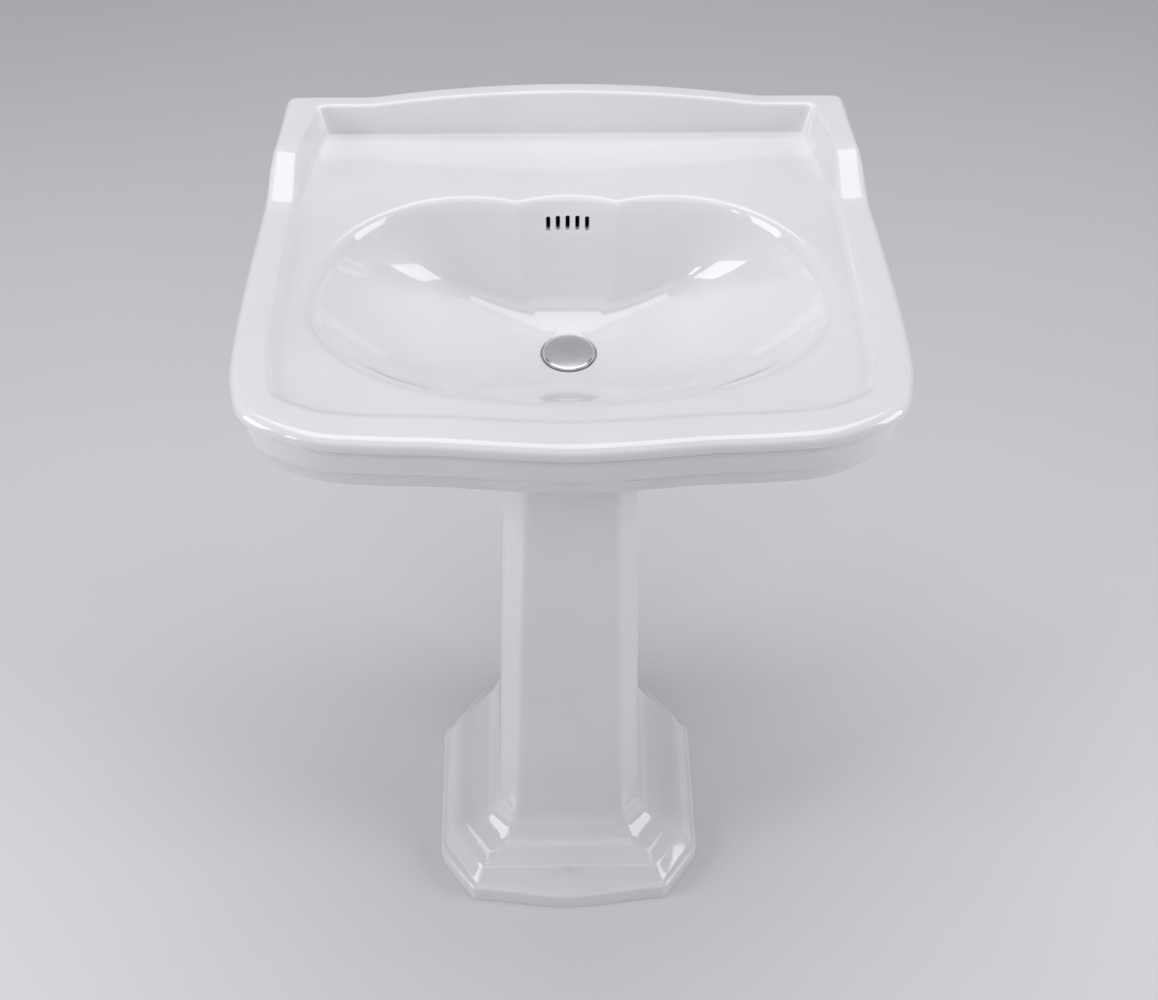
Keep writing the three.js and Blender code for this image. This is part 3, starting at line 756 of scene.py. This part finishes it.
# Inset, level and inset at the wall, up the inside.
INSIDE_SKIRT = [(37.5, 764.0, 21.0), (39.2, 764.5, 22.8), (40.0, 766.0, 24.0), (41.0, 780.0, 24.0),
                (43.6, 820.0, 24.0), (45.0, 825.5, 25.4), (48.0, 828.0, 28.5)]
# Radius and level: the cap's recess, the seat, the bore and the boss round it.
DRAIN = [(32.8, 702.4), (32.0, 701.8), (31.5, 700.8), (31.5, 698.2), (30.8, 697.3), (29.6, 697.0),
         (24.4, 697.0), (23.3, 696.7), (23.0, 695.6), (23.0, 661.6), (23.4, 660.5), (24.6, 660.0),
         (40.2, 660.0), (41.6, 660.6), (42.0, 662.0), (42.2, 674.0), (43.0, 681.0), (44.2, 686.5)]


# %% The shell
def basin_rings():
    rings = [lift(circle_half(r), z) for r, z in DRAIN[::-1]]
    gentle = ramp(60, 125, np.degrees(BEARING))[:, None]
    lip_at = 0.045 + 0.055 * gentle
    rings += [bowl_ring(1 - s * (1 - lip_at)) for s in np.linspace(0, 1, 30)]
    corner, beyond = lift(bowl_half(0.3), DECK_Z - 0.2), lift(bowl_half(13), DECK_Z + 0.1)
    lip_end = lift(EDGE, DECK_Z + 0.1) * (1 - 0.5 * (1 + gentle)) + beyond * 0.5 * (1 + gentle)
    rings += list(curve3(rings[-1], corner, lip_end, 8))[1:]
    rim = rim_rings()
    rings += [rings[-1] + (rim[0] - rings[-1]) * t for t in (0.08, 0.22, 0.42, 0.62, 0.8, 0.92)]
    rings += rim
    rings += [lift(inset(side), z) for side, z in FASCIA]
    rings += [lift(inset(side, back), z) for side, z, back in INSIDE_SKIRT]
    rings += [bowl_ring(t, SHELL, DECK_Z - 3) for t in np.linspace(0, 1, 16)]
    return rings


rings = [whole(ring) for ring in basin_rings()]
shell = loft([*rings, rings[0]])
tidy(shell)
BELLY = BVHTree.FromBMesh(shell)
print("shell faces:", len(shell.faces), "volume (litres):", round(shell.calc_volume() * 1000, 2))

# %% [markdown]
# ## Overflow, bolt holes and the finished basin
# Behind the bowl a duct carries the overflow down to the waste. On a real basin it is cast as a
# blister under the deck. Here the blister is an extruded outline with bevelled edges, joined to
# the shell by a boolean, and the waterway is cut out of it. Five slots open into it; the glaze
# rounds their lips, so each cutter flares where it meets the surface of the bowl.


# %% Cutters and joins
BOLT_X, BOLT_Y, BOLT_Z = 140, 220, 800


def carve(piece, cutter_bm, operation):
    """Joins the cutter to the piece or cuts it out, and keeps only the result."""
    mesh = bpy.data.meshes.new("cutter")
    cutter_bm.to_mesh(mesh)
    cutter_bm.free()
    cutter = bpy.data.objects.new("cutter", mesh)
    bpy.context.scene.collection.objects.link(cutter)
    step = piece.modifiers.new("cut", "BOOLEAN")
    step.object, step.operation, step.solver = cutter, operation, "EXACT"
    graph = bpy.context.evaluated_depsgraph_get()
    result = bpy.data.meshes.new_from_object(piece.evaluated_get(graph))
    piece.modifiers.clear()
    name, old = piece.data.name, piece.data
    piece.data = result
    bpy.data.meshes.remove(old)
    bpy.data.objects.remove(cutter)
    bpy.data.meshes.remove(mesh)
    result.name = name


def bar_across(section, width, edge=0.0):
    """A bar along X from a section of (y, z) points, with its long edges bevelled."""
    bm = bmesh.new()
    face = bm.faces.new([bm.verts.new((-width / 2 * MM, y * MM, z * MM)) for y, z in section])
    made = bmesh.ops.extrude_face_region(bm, geom=[face])
    bmesh.ops.translate(bm, verts=[v for v in made["geom"] if isinstance(v, bmesh.types.BMVert)],
                        vec=(width * MM, 0, 0))
    bmesh.ops.recalc_face_normals(bm, faces=bm.faces)
    if edge:
        bmesh.ops.bevel(bm, geom=bm.edges[:], offset=edge * MM, offset_type="OFFSET", affect="EDGES",
                        segments=4, profile=0.5, material=-1, clamp_overlap=True)
    return bm


SLOT = {"r": 2.2, "half": 6.8, "z": 809, "pitch": 11}
SLOT_FLARE = [(-5, 1.6), (-0.4, 0.95), (0.15, 0.62), (0.6, 0.36), (1.1, 0.16), (1.9, 0.04), (2.6, 0),
              (22, 0)]  # depth behind the bowl's surface, and how much wider the slot is there


def slot_cutter(x):
    """A round-ended slot that follows the slope of the bowl's back wall."""
    levels = (SLOT["z"] - 8, SLOT["z"] + 8)
    wall_y = []
    for z in levels:
        hit = BELLY.ray_cast(Vector((x * MM, 0, z * MM)), Vector((0, 1, 0)))[0]
        wall_y.append(hit.y / MM)
    a = np.linspace(0, 2 * math.pi, 28, endpoint=False)
    rings = []
    for deep, grow in SLOT_FLARE:
        radius = SLOT["r"] + grow
        half = SLOT["half"] * np.sign(np.round(np.sin(a), 6))
        ring_z = SLOT["z"] + half + radius * np.sin(a)
        y = np.interp(ring_z, levels, wall_y) + deep
        rings.append(np.column_stack([x + radius * np.cos(a), y, ring_z]))
    bm = loft(rings)
    tidy(bm)
    bmesh.ops.holes_fill(bm, edges=bm.edges[:], sides=0)
    bmesh.ops.recalc_face_normals(bm, faces=bm.faces)
    return bm


def bolt_hole(x):
    return turned([(0, 0), (9, 0), (9, 40), (0, 40)], 32, 0, (x, BOLT_Y, BOLT_Z))


def shade(piece, sharp):
    piece.data.shade_smooth()
    piece.data.set_sharp_from_angle(angle=math.radians(sharp))


# %% The finished basin
BLISTER = [(113, 828.5), (138, 828.5), (138, 760), (128, 684), (97, 663), (30, 661), (30, 686),
           (80, 700), (101, 713)]
WATERWAY = [([(114, 820), (130, 820), (130, 762), (124, 712), (108, 712)], 52),
            ([(107, 718), (123, 718), (121, 688), (94, 670), (0, 668), (0, 690), (86, 694)], 36)]


def make_basin():
    piece = to_object(shell, "basin_ceramic", GLAZE)
    carve(piece, bar_across(BLISTER, 66, 4), "UNION")
    for section, width in WATERWAY:
        carve(piece, bar_across(section, width), "DIFFERENCE")
    slots = [slot_cutter(i * SLOT["pitch"]) for i in (-2, -1, 0, 1, 2)]
    openings = merge_into(*slots, bolt_hole(-BOLT_X), bolt_hole(BOLT_X))
    carve(piece, openings, "DIFFERENCE")
    shade(piece, 38)
    stand_in(piece, "basin")


make_basin()

# %% [markdown]
# ## The pedestal
# The pedestal is one hollow casting, open at the back. Its plan is an octagon: a stepped plinth,
# a second tier whose front dips in the middle like a cupid's bow, then a flare that draws in to a
# tall column. The level outlines are rows of numbers, and blending between rows rounds the edges
# from tier to tier. Outside and inside are one grid that folds over at the top, where the clay
# is scribed to the underside of the basin.

# %% Plan outlines of the pedestal
BACK = 50
DIP_RISE = 0.6  # how much the dip rises for each millimetre it goes back
FOOT_TOP, COLUMN_TOP = 100, 812  # the column's ends, before it is scribed to the basin
# z, half width, half front face, front y, front cut, half back, back cut, bow, dip
LEVELS = np.array([
    (0.0, 165.0, 122.3, -263.0, 62, 112.5, 55, 13, 0),
    (1.2, 166.0, 123.0, -264.0, 62, 113.0, 55, 13, 0),
    (24.0, 166.0, 123.0, -264.0, 62, 113.0, 55, 13, 0),
    (26.6, 162.0, 120.2, -260.2, 62, 113.0, 55, 11, 4),
    (27.4, 159.4, 118.2, -257.4, 62, 113.0, 55, 0, 14),
    (43.6, 150.4, 111.2, -243.6, 62, 113.0, 55, 0, 0),
    (47.2, 145.6, 106.6, -237.6, 60, 100.0, 50, 0, 0)])
# z, half width, half front face, front y, front cut, half back, back cut
HOLLOW = np.array([
    (-5, 146, 104, -244, 56, 40, 90), (28, 134, 96, -228, 56, 40, 90),
    (45, 110, 78, -208, 40, 40, 60), (75, 81, 64, -184, 22, 70, 8),
    (110, 76.7, 60.7, -181.9, 22, 75.7, 2)], float)


def column_at(z):
    t = (z - FOOT_TOP) / (COLUMN_TOP - FOOT_TOP)
    half = 89 - 19 * t
    return [half, 67 - 21 * t, -194 + 4 * t, 26, half - 11, 11, 0, 0]


def softened(rows, cut):
    """Rounds the corners of a profile whose points are rows of numbers, the first two in mm."""
    out = [rows[0]]
    for before, corner, after in zip(rows, rows[1:], rows[2:]):
        a, c = before - corner, after - corner
        la, lc = math.hypot(*a[:2]), math.hypot(*c[:2])
        near = min(cut, 0.45 * la, 0.45 * lc)
        out += list(curve3(corner + a * near / la, corner, corner + c * near / lc, 4))
    return np.array([*out, rows[-1]])


def flare_rows(steps=14):
    start = np.array([145, 106, -237, 60, 100, 50, 0, 0], float)
    end = np.array(column_at(FOOT_TOP), float)
    rows = []
    for a in np.radians(np.linspace(4, 90, steps)):
        rows.append([48 + 52 * (1 - math.cos(a)), *(start + (end - start) * math.sin(a))])
    return np.array(rows)


def filleted(corners, cuts, counts):
    """An open path with rounded corners and fixed point counts on every stretch."""
    p = [np.array(c, float) for c in corners]
    arcs = []
    for before, corner, after, cut in zip(p, p[1:], p[2:], cuts):
        la, lc = np.linalg.norm(before - corner), np.linalg.norm(after - corner)
        near = min(cut, 0.45 * la, 0.45 * lc)
        start = corner + (before - corner) * near / la
        arcs.append(list(curve3(start, corner, corner + (after - corner) * near / lc, 5)))
    arcs.append(p[-1:])
    out = [p[0]]
    for arc, count in zip(arcs, counts):
        begin = out[-1]
        out += [begin + (arc[0] - begin) * t for t in np.linspace(0, 1, count + 1)[1:]]
        out += arc[1:]
    return np.array(out)


def front_dip(x):
    """The dip in the middle of the second tier: 1 at the middle, fading to both sides."""
    return np.exp(-(np.sqrt(x * x + 2) - 1.4) / 12)


def inner_level(z):
    if z <= HOLLOW[-1, 0]:
        return [np.interp(z, HOLLOW[:, 0], HOLLOW[:, k]) for k in range(1, 7)]
    half, face, front, *_ = column_at(z)
    return [half - 12, face - 6, front + 12, 22, half - 13, 2]


def paths_at(z, row):
    """Outside and inside half paths at one level, from the back end of the wall to the front."""
    half, face, front, cut, back_half, back_cut, bow, dip = row
    in_half, in_face, in_front, in_cut, in_back, in_back_cut = inner_level(z)
    slant = (in_half - in_back) / in_back_cut
    in_x = min(in_half, in_back + slant * (80 - BACK), back_half - 1.6)
    end = ((in_x + back_half) / 2, BACK)
    turn_y = min(BACK - 2, 80 - in_back_cut)
    counts = (2, 3, 14, 8, 16)
    outside = filleted([end, (back_half, BACK), (half, BACK - back_cut), (half, front + cut),
                        (face, front), (0, front)], (3, 6, 7, 7), counts)
    inside = filleted([end, (in_x, BACK), (in_half, turn_y), (in_half, in_front + in_cut),
                       (in_face, in_front), (0, in_front)], (1, 4, 6, 6), counts)
    x = outside[:, 0]
    on_front = outside[:, 1] < front + 1.5
    bowed = np.where(on_front, -bow * ramp(0, 1, 1 - x / face), 0)
    outside[:, 1] += bowed + dip * front_dip(x)
    return outside, inside


def belly_z(x, y):
    hit = BELLY.ray_cast(Vector((x * MM, y * MM, 0.5)), Vector((0, 0, 1)))[0]
    return hit.z / MM if hit else 800.0


def scribed_top(which):
    """Per path point, the level at which the wall meets the underside of the basin."""
    start = 760.0
    level = np.full(len(paths_at(start, column_at(start))[0]), start)
    for _ in range(5):
        for i, z in enumerate(level):
            level[i] = belly_z(*paths_at(z, column_at(z))[which][i]) - 2
    return level


# %% Loft of the pedestal
def column_ring(top, share, which):
    """One ring up the column: each point is at the same share of the height below its own top."""
    ring = []
    for i, z_top in enumerate(top):
        z = FOOT_TOP + (z_top - 1.5 - FOOT_TOP) * share
        ring.append((*paths_at(z, column_at(z))[which][i], z))
    return np.array(ring)


def pedestal_grid():
    low = softened(LEVELS, 2.4)
    rows = [*low[low[:, 0] < 47.0], *flare_rows()]
    outside, inside = [], []
    for z, *row in rows:
        outer, inner = paths_at(z, row)
        dip = row[-1]
        outside.append(lift(outer, z + DIP_RISE * dip * front_dip(outer[:, 0])))
        inside.append(lift(inner, z))
    tops = [scribed_top(0), scribed_top(1)]
    for share in (0.04, 0.12, 0.25, 0.4, 0.55, 0.7, 0.84, 0.94, 0.985, 1.0):
        outside.append(column_ring(tops[0], share, 0))
        inside.append(column_ring(tops[1], share, 1))
    over = []
    out_top, in_top = outside[-1], inside[-1]
    thick = np.clip(np.linalg.norm(out_top - in_top, axis=1) / 6, 0, 1)
    for t, rise in ((0.06, 1.0), (0.16, 1.5), (0.5, 1.5), (0.84, 1.5), (0.94, 1.0)):
        ring = out_top * (1 - t) + in_top * t
        ring[:, 2] += rise * thick
        over.append(ring)
    return [*outside, *over, *inside[::-1]]


def make_pedestal():
    rings = [np.vstack([half, half[-2::-1] * (-1, 1, 1)]) for half in pedestal_grid()]
    bm = loft([*rings, rings[0]], wrap=False)
    tidy(bm, 2e-5)
    print("pedestal open edges:", sum(1 for e in bm.edges if not e.is_manifold))
    stand_in(to_object(bm, "pedestal_ceramic", GLAZE, 50), "pedestal")


make_pedestal()

# %% [markdown]
# ## The click waste
# Only the cap shows from above: a shallow dome with a rolled, polished edge. Under it are a rubber
# seal, a brass stem in a spring cartridge, and a flanged body that goes down through the clay and
# is clamped from below. All of it is turned work, so each piece is a profile spun round one axis.

# %% Cap, seal, stem and cartridge
CAP_Z = 703.2  # underside of the cap
cap_edge = [(26.8, 0), (28.2, -1.7), (29.2, -1.8), (29.8, -1.3), (30, -0.5), (29.9, 0.3),
            (29.4, 1.1), (28.6, 1.6), (27.6, 1.85)]
cap_dome = [(24, 2.4), (18, 3.1), (12, 3.6), (5, 3.95), (0, 4)]
cap_under = [(0, -0.2), (3, -0.2), (3.4, -4), (6, -4), (6, 0)]
cap = [(r, CAP_Z + z) for r, z in cap_under + cap_edge + cap_dome]
add_turned("waste_cap", "plug_cap", SATIN, cap, 96, 0.3)
add_turned("waste_seal", "plug_seal", RUBBER,
           [(19, 700.9), (26, 700.9), (25.4, 701.9), (26, 702.9), (19, 702.9)], 64, 0.4)
add_turned("waste_stem", "plug_stem", BRASS,
           [(0, 664), (2.3, 664), (2.8, 664.6), (2.8, 672), (4.6, 672), (4.6, 675), (2.8, 675),
            (2.8, 692), (2.3, 692.5), (2.3, 693.5), (2.8, 694), (2.8, CAP_Z - 0.6),
            (0, CAP_Z - 0.6)], 32, 0.25)
add_turned("waste_cartridge", "click_cartridge", BRASS,
           [(0, 652), (6.2, 652), (7, 652.8), (7, 666), (6.5, 666.5), (6.5, 667.5), (7, 668),
            (7, 686), (3.4, 686), (3.4, 683.6), (5, 683.6), (5, 655), (0, 655)], 32, 0.25)


# %% Flanged body, washers and nuts
def box_bm(size, centre):
    bm = bmesh.new()
    bmesh.ops.create_cube(bm, size=1)
    bmesh.ops.scale(bm, vec=Vector(size) * MM, verts=bm.verts)
    bmesh.ops.translate(bm, vec=Vector(centre) * MM, verts=bm.verts)
    return bm


def ring(inner, outer, low, high):
    return [(inner, low), (outer, low), (outer, high), (inner, high)]


def hex_nut(corner, bore, low, high, lying_at=None):
    """A hexagon nut: straight flats, corners chamfered by a cone, and a chamfered bore."""
    a = np.linspace(0, 2 * math.pi, 96, endpoint=False)
    sixth = math.pi / 6
    flat = corner * math.cos(sixth)
    hexagon = np.minimum(flat / np.cos((a + sixth) % (2 * sixth) - sixth), corner - 0.25)
    bevel = (corner - flat) * 0.58
    half = [(bore, 0.7), (bore + 0.7, 0), (flat - 0.5, 0), (flat - 0.1, 0.15), (corner, bevel)]
    rows = []
    for limit, z in [(r, low + z) for r, z in half] + [(r, high - z) for r, z in half[::-1]]:
        r = np.minimum(hexagon, limit)
        rows.append(np.column_stack([r * np.cos(a), r * np.sin(a), np.full(len(a), z)]))
    bm = loft([*rows, rows[0]])
    tidy(bm)
    if lying_at is not None:
        lay_down(bm, lying_at)
    return bm


def make_waste_body():
    top = 700.6
    tail = 20.2
    piece = to_object(turned([(17, 612), (tail, 612), (tail, top - 1.6), (28.2, top - 1.6),
                              (28.5, top - 1.3), (28.3, top - 0.8), (26, top), (18.8, top),
                              (17.6, top - 1), (17, top - 3)], 64, 0.3),
                      "waste_body_chromed", CHROME)
    carve(piece, box_bm((14, 60, 14), (0, 0, 682)), "DIFFERENCE")
    carve(piece, turned(ring(7.6, 10, 668, 676), 32, 0.3), "UNION")
    for x in (-13.5, 13.5):
        carve(piece, box_bm((9, 4, 8), (x, 0, 672)), "UNION")
    bm = bmesh.new()
    bm.from_mesh(piece.data)
    merge_into(bm, thread(tail, 613.5, 674, 2.3, 0.7))
    bm.to_mesh(piece.data)
    bm.free()
    shade(piece, 40)
    stand_in(piece, "waste_body")


make_waste_body()
add_turned("waste_flange_foam", "flange_washer", FOAM, ring(21.4, 28, 697.3, 698.7), 64, 0.3)
add_turned("waste_taper_washer", "taper_washer", RUBBER,
           [(21.2, 650.7), (24, 650.7), (30, 656.7), (30, 659.7), (21.2, 659.7)])
add_turned("waste_slip_washer", "slip_washer", NYLON, ring(21.2, 29, 648.4, 650.4), 64, 0.5)
stand_in(to_object(hex_nut(27.5, 21.2, 639.1, 648.1), "waste_back_nut", BRASS, 30), "back_nut")

# %% [markdown]
# ## The bottle trap
# A chromed brass bottle trap hangs from the waste inside the pedestal. Its cup unscrews by hand,
# so it has a fluted grip, and so have the two coupling nuts. Flutes are made by pressing shallow
# waves into a turned nut. The outlet goes back through a rosette into the wall.


# %% Trap body, cup, nuts and outlet
def add_grip(name, node, outline, beyond, span, steps=112, radius=0.6, count=14, depth=1.3,
             lying_at=None):
    bm = turned(outline, steps, radius)
    flutes(bm, count, depth, beyond, span)
    if lying_at is not None:
        lay_down(bm, lying_at)
    stand_in(to_object(bm, name, CHROME, 40), node)


def along(y):
    """A place on the outlet's axis."""
    return (0, y, 560)


add_turned("trap_inlet_rubber", "trap_inlet_washer", RUBBER, ring(14.5, 20.5, 609.6, 611.7), 64, 0.4)
add_grip("trap_inlet_grip", "trap_inlet_nut",
         [(17.4, 600), (24.6, 600), (25.4, 601), (26, 603.6), (26, 612), (26, 624), (26, 633.6),
          (25.4, 635.6), (24.4, 637), (21.2, 637), (21.2, 605.4), (17.4, 605.4)], 25.8, (603, 634))


def make_trap_body():
    piece = to_object(turned([(14.2, 470), (16, 470), (16, 584), (26, 576), (26, 452), (28, 452),
                              (28, 476), (30, 476), (30, 482), (29.6, 483), (29.6, 484.4),
                              (30, 485.4), (30, 576), (29, 582), (25.5, 587.5), (20, 591),
                              (17, 592.6), (17, 598), (17, 605.7), (20.5, 605.7), (20.5, 609.3),
                              (14.2, 609.3)], 80, 1.0), "trap_bottle", CHROME)
    carve(piece, turned(ring(16.4, 20, 0, 35), 64, 0.3, along(27)), "UNION")
    carve(piece, turned(ring(0, 14.5, 0, 30), 64, 0, along(17)), "DIFFERENCE")
    shade(piece, 40)
    stand_in(piece, "trap_body")


make_trap_body()
add_grip("trap_cup_fluted", "trap_cup",
         [(0, 424), (10, 424.3), (18, 425.5), (25, 428.4), (29, 432), (32, 437), (33, 443),
          (33, 452), (32.4, 453), (32.4, 454.4), (33, 455.4), (33, 464), (33, 472.6),
          (32.4, 474.6), (31.6, 475.7), (30.3, 475.7), (28.3, 470), (28.3, 450), (26, 447),
          (26, 438), (18, 431), (0, 429)], 32.6, (455, 474), 144, 0.7, 24, 1.2)
add_turned("trap_cup_rubber", "trap_cup_seal", RUBBER, ring(26, 28, 450.3, 451.7), 64, 0.4)
add_grip("trap_outlet_grip", "trap_outlet_nut",
         [(20.3, 0), (24.6, 0), (25.4, 0.8), (26, 3), (26, 8), (26, 14), (26, 18), (25.2, 21),
          (24, 23), (16.4, 23), (16.4, 18.3), (20.3, 18.3)], 25.8, (2.5, 18.5), lying_at=along(48))
add_turned("trap_outlet_rubber", "trap_outlet_washer", RUBBER, ring(16.3, 20, 0, 3.4), 64, 0.6,
           along(62.4))
add_turned("waste_outlet_pipe", "outlet_pipe", CHROME,
           [(14.6, 0), (16, 0), (16, 60), (16, 120), (16, 180), (16, 249), (14.6, 249)], 64, 0.5,
           along(46))
add_turned("outlet_rosette", "wall_rosette", CHROME,
           [(16.5, 0.4), (17.6, 0), (19, 0.3), (22.5, 1.6), (27, 3.7), (32, 6.3), (36.4, 8.8),
            (37.6, 9.9), (38, 11), (37.6, 11.7), (36, 11.7), (30, 8.4), (24, 5.2), (18, 2.7),
            (16.5, 2.7)], 96, 0.5, along(238))

# %% [markdown]
# ## Wall fixings
# Two hanger bolts hold the basin to the wall: a coarse wood thread goes into a ribbed nylon plug
# and a machine thread takes a nut. A nylon sleeve keeps the steel off the clay. The threads are
# a small triangle spun upwards as it turns, which is how a real thread is cut.


# %% Bolts, plugs, sleeves, washers and nuts
def make_fixing(side, x):
    bolt = turned([(0, 0), (3.6, 0), (4.4, 0.8), (4.4, 46), (3.2, 47.2), (3.2, 50), (2.7, 51),
                   (2.7, 98), (0.4, 107.6), (0, 107.6)], 32, 0.3)
    merge_into(bolt, thread(4.4, 1, 46, 1.5, 0.55), thread(2.7, 52, 100, 4, 0.85))
    lay_down(bolt, (x, 200, BOLT_Z))
    stand_in(to_object(bolt, f"wall_bolt_{side}", ZINC, 35), f"hanger_bolt_{side}")
    ribs = [(5.3, 0), (8, 0), (8, 1.5), (7, 2.4)]
    for z in range(6, 54, 6):
        ribs += [(6.4, z), (7, z + 0.6), (7, z + 4.2), (6.4, z + 4.8)]
    ribs += [(7, 56), (5, 64.4), (3.9, 64.4), (4, 60), (4.2, 3.5)]
    add_turned(f"ribbed_plug_{side}", f"wall_plug_{side}", NYLON, ribs, 32, 0.25,
               (x, 250.6, BOLT_Z))
    add_turned(f"nylon_sleeve_{side}", f"bolt_sleeve_{side}", NYLON,
               [(5.3, 0), (13.2, 0), (14, 0.8), (14, 3), (8.6, 3), (8.6, 24), (5.3, 24)], 48, 0.5,
               (x, 222.7, BOLT_Z))
    add_turned(f"steel_washer_{side}", f"bolt_washer_{side}", ZINC, ring(5.3, 12, 0, 2), 48, 0.35,
               (x, 220.4, BOLT_Z))
    nut = hex_nut(9.5, 5.3, 0, 8, (x, 212.1, BOLT_Z))
    stand_in(to_object(nut, f"steel_nut_{side}", ZINC, 30), f"bolt_nut_{side}")


make_fixing("left", -BOLT_X)
make_fixing("right", BOLT_X)

# %% [markdown]
# ## Parts kept from the measured model
# The rubber saddle pads and the small spring inside the cartridge already have the right shape,
# so they keep it and only take a better finish.

# %% Finishes for the kept parts
for node, finish in {"saddle_pad_front": RUBBER, "saddle_pad_left": RUBBER, "saddle_pad_right": RUBBER,
                     "click_spring": ZINC}.items():
    for slot in frame["nodes"][node].material_slots:
        slot.material = finish

# %% [markdown]
# ## Floor and light
# A plain pale floor and big soft lights, as in a studio. Glaze only looks like glaze when it has
# something to mirror: one broad light hangs overhead, and a tall one to the left draws the clean
# vertical streaks down the pedestal and the corner of the rim.


# %% Floor
def make_floor():
    material, tree, shader = start_material("pale_floor", Roughness=0.6)
    cloud = remap(tree, noise(tree, object_place(tree), 1.2, 4.0), 0.3, 0.7)
    colour = mix_colour(tree, cloud, (0.75, 0.75, 0.78, 1), (0.72, 0.72, 0.75, 1))
    tree.links.new(colour, shader.inputs["Base Color"])
    bm = bmesh.new()
    bmesh.ops.create_grid(bm, x_segments=2, y_segments=2, size=40)
    floor = to_object(bm, "floor", material)


make_floor()


# %% Lights
def softbox(name, place, target, size, power, colour=(1, 1, 1)):
    data = bpy.data.lights.new(name, "AREA")
    data.shape = "RECTANGLE"
    data.size, data.size_y = size
    data.energy = power
    data.color = colour
    lamp = bpy.data.objects.new(name, data)
    lamp.location = place
    lamp.rotation_euler = (Vector(target) - Vector(place)).to_track_quat("-Z", "Y").to_euler()
    bpy.context.scene.collection.objects.link(lamp)


softbox("overhead", (0.0, 0.3, 3.0), (0, 0, 0.6), (2.4, 1.8), 33)
softbox("front_top", (-0.2, -2.6, 3.3), (0, -0.1, 0.4), (3.4, 2.0), 15)
softbox("left_window", (-2.6, -0.9, 1.5), (0, -0.1, 0.2), (1.3, 1.7), 30)
softbox("left_strip", (-1.9, -1.9, 1.7), (0, -0.1, 0.4), (0.3, 0.6), 3)
softbox("right_wall", (2.6, -0.8, 1.4), (0, -0.1, 0.1), (1.3, 1.7), 27)

world = bpy.data.worlds.new("soft_room")
world.use_nodes = True
world.node_tree.nodes["Background"].inputs["Color"].default_value = (0.86, 0.87, 0.92, 1)
world.node_tree.nodes["Background"].inputs["Strength"].default_value = 0.26
bpy.context.scene.world = world
bpy.context.scene.view_settings.view_transform = "Standard"
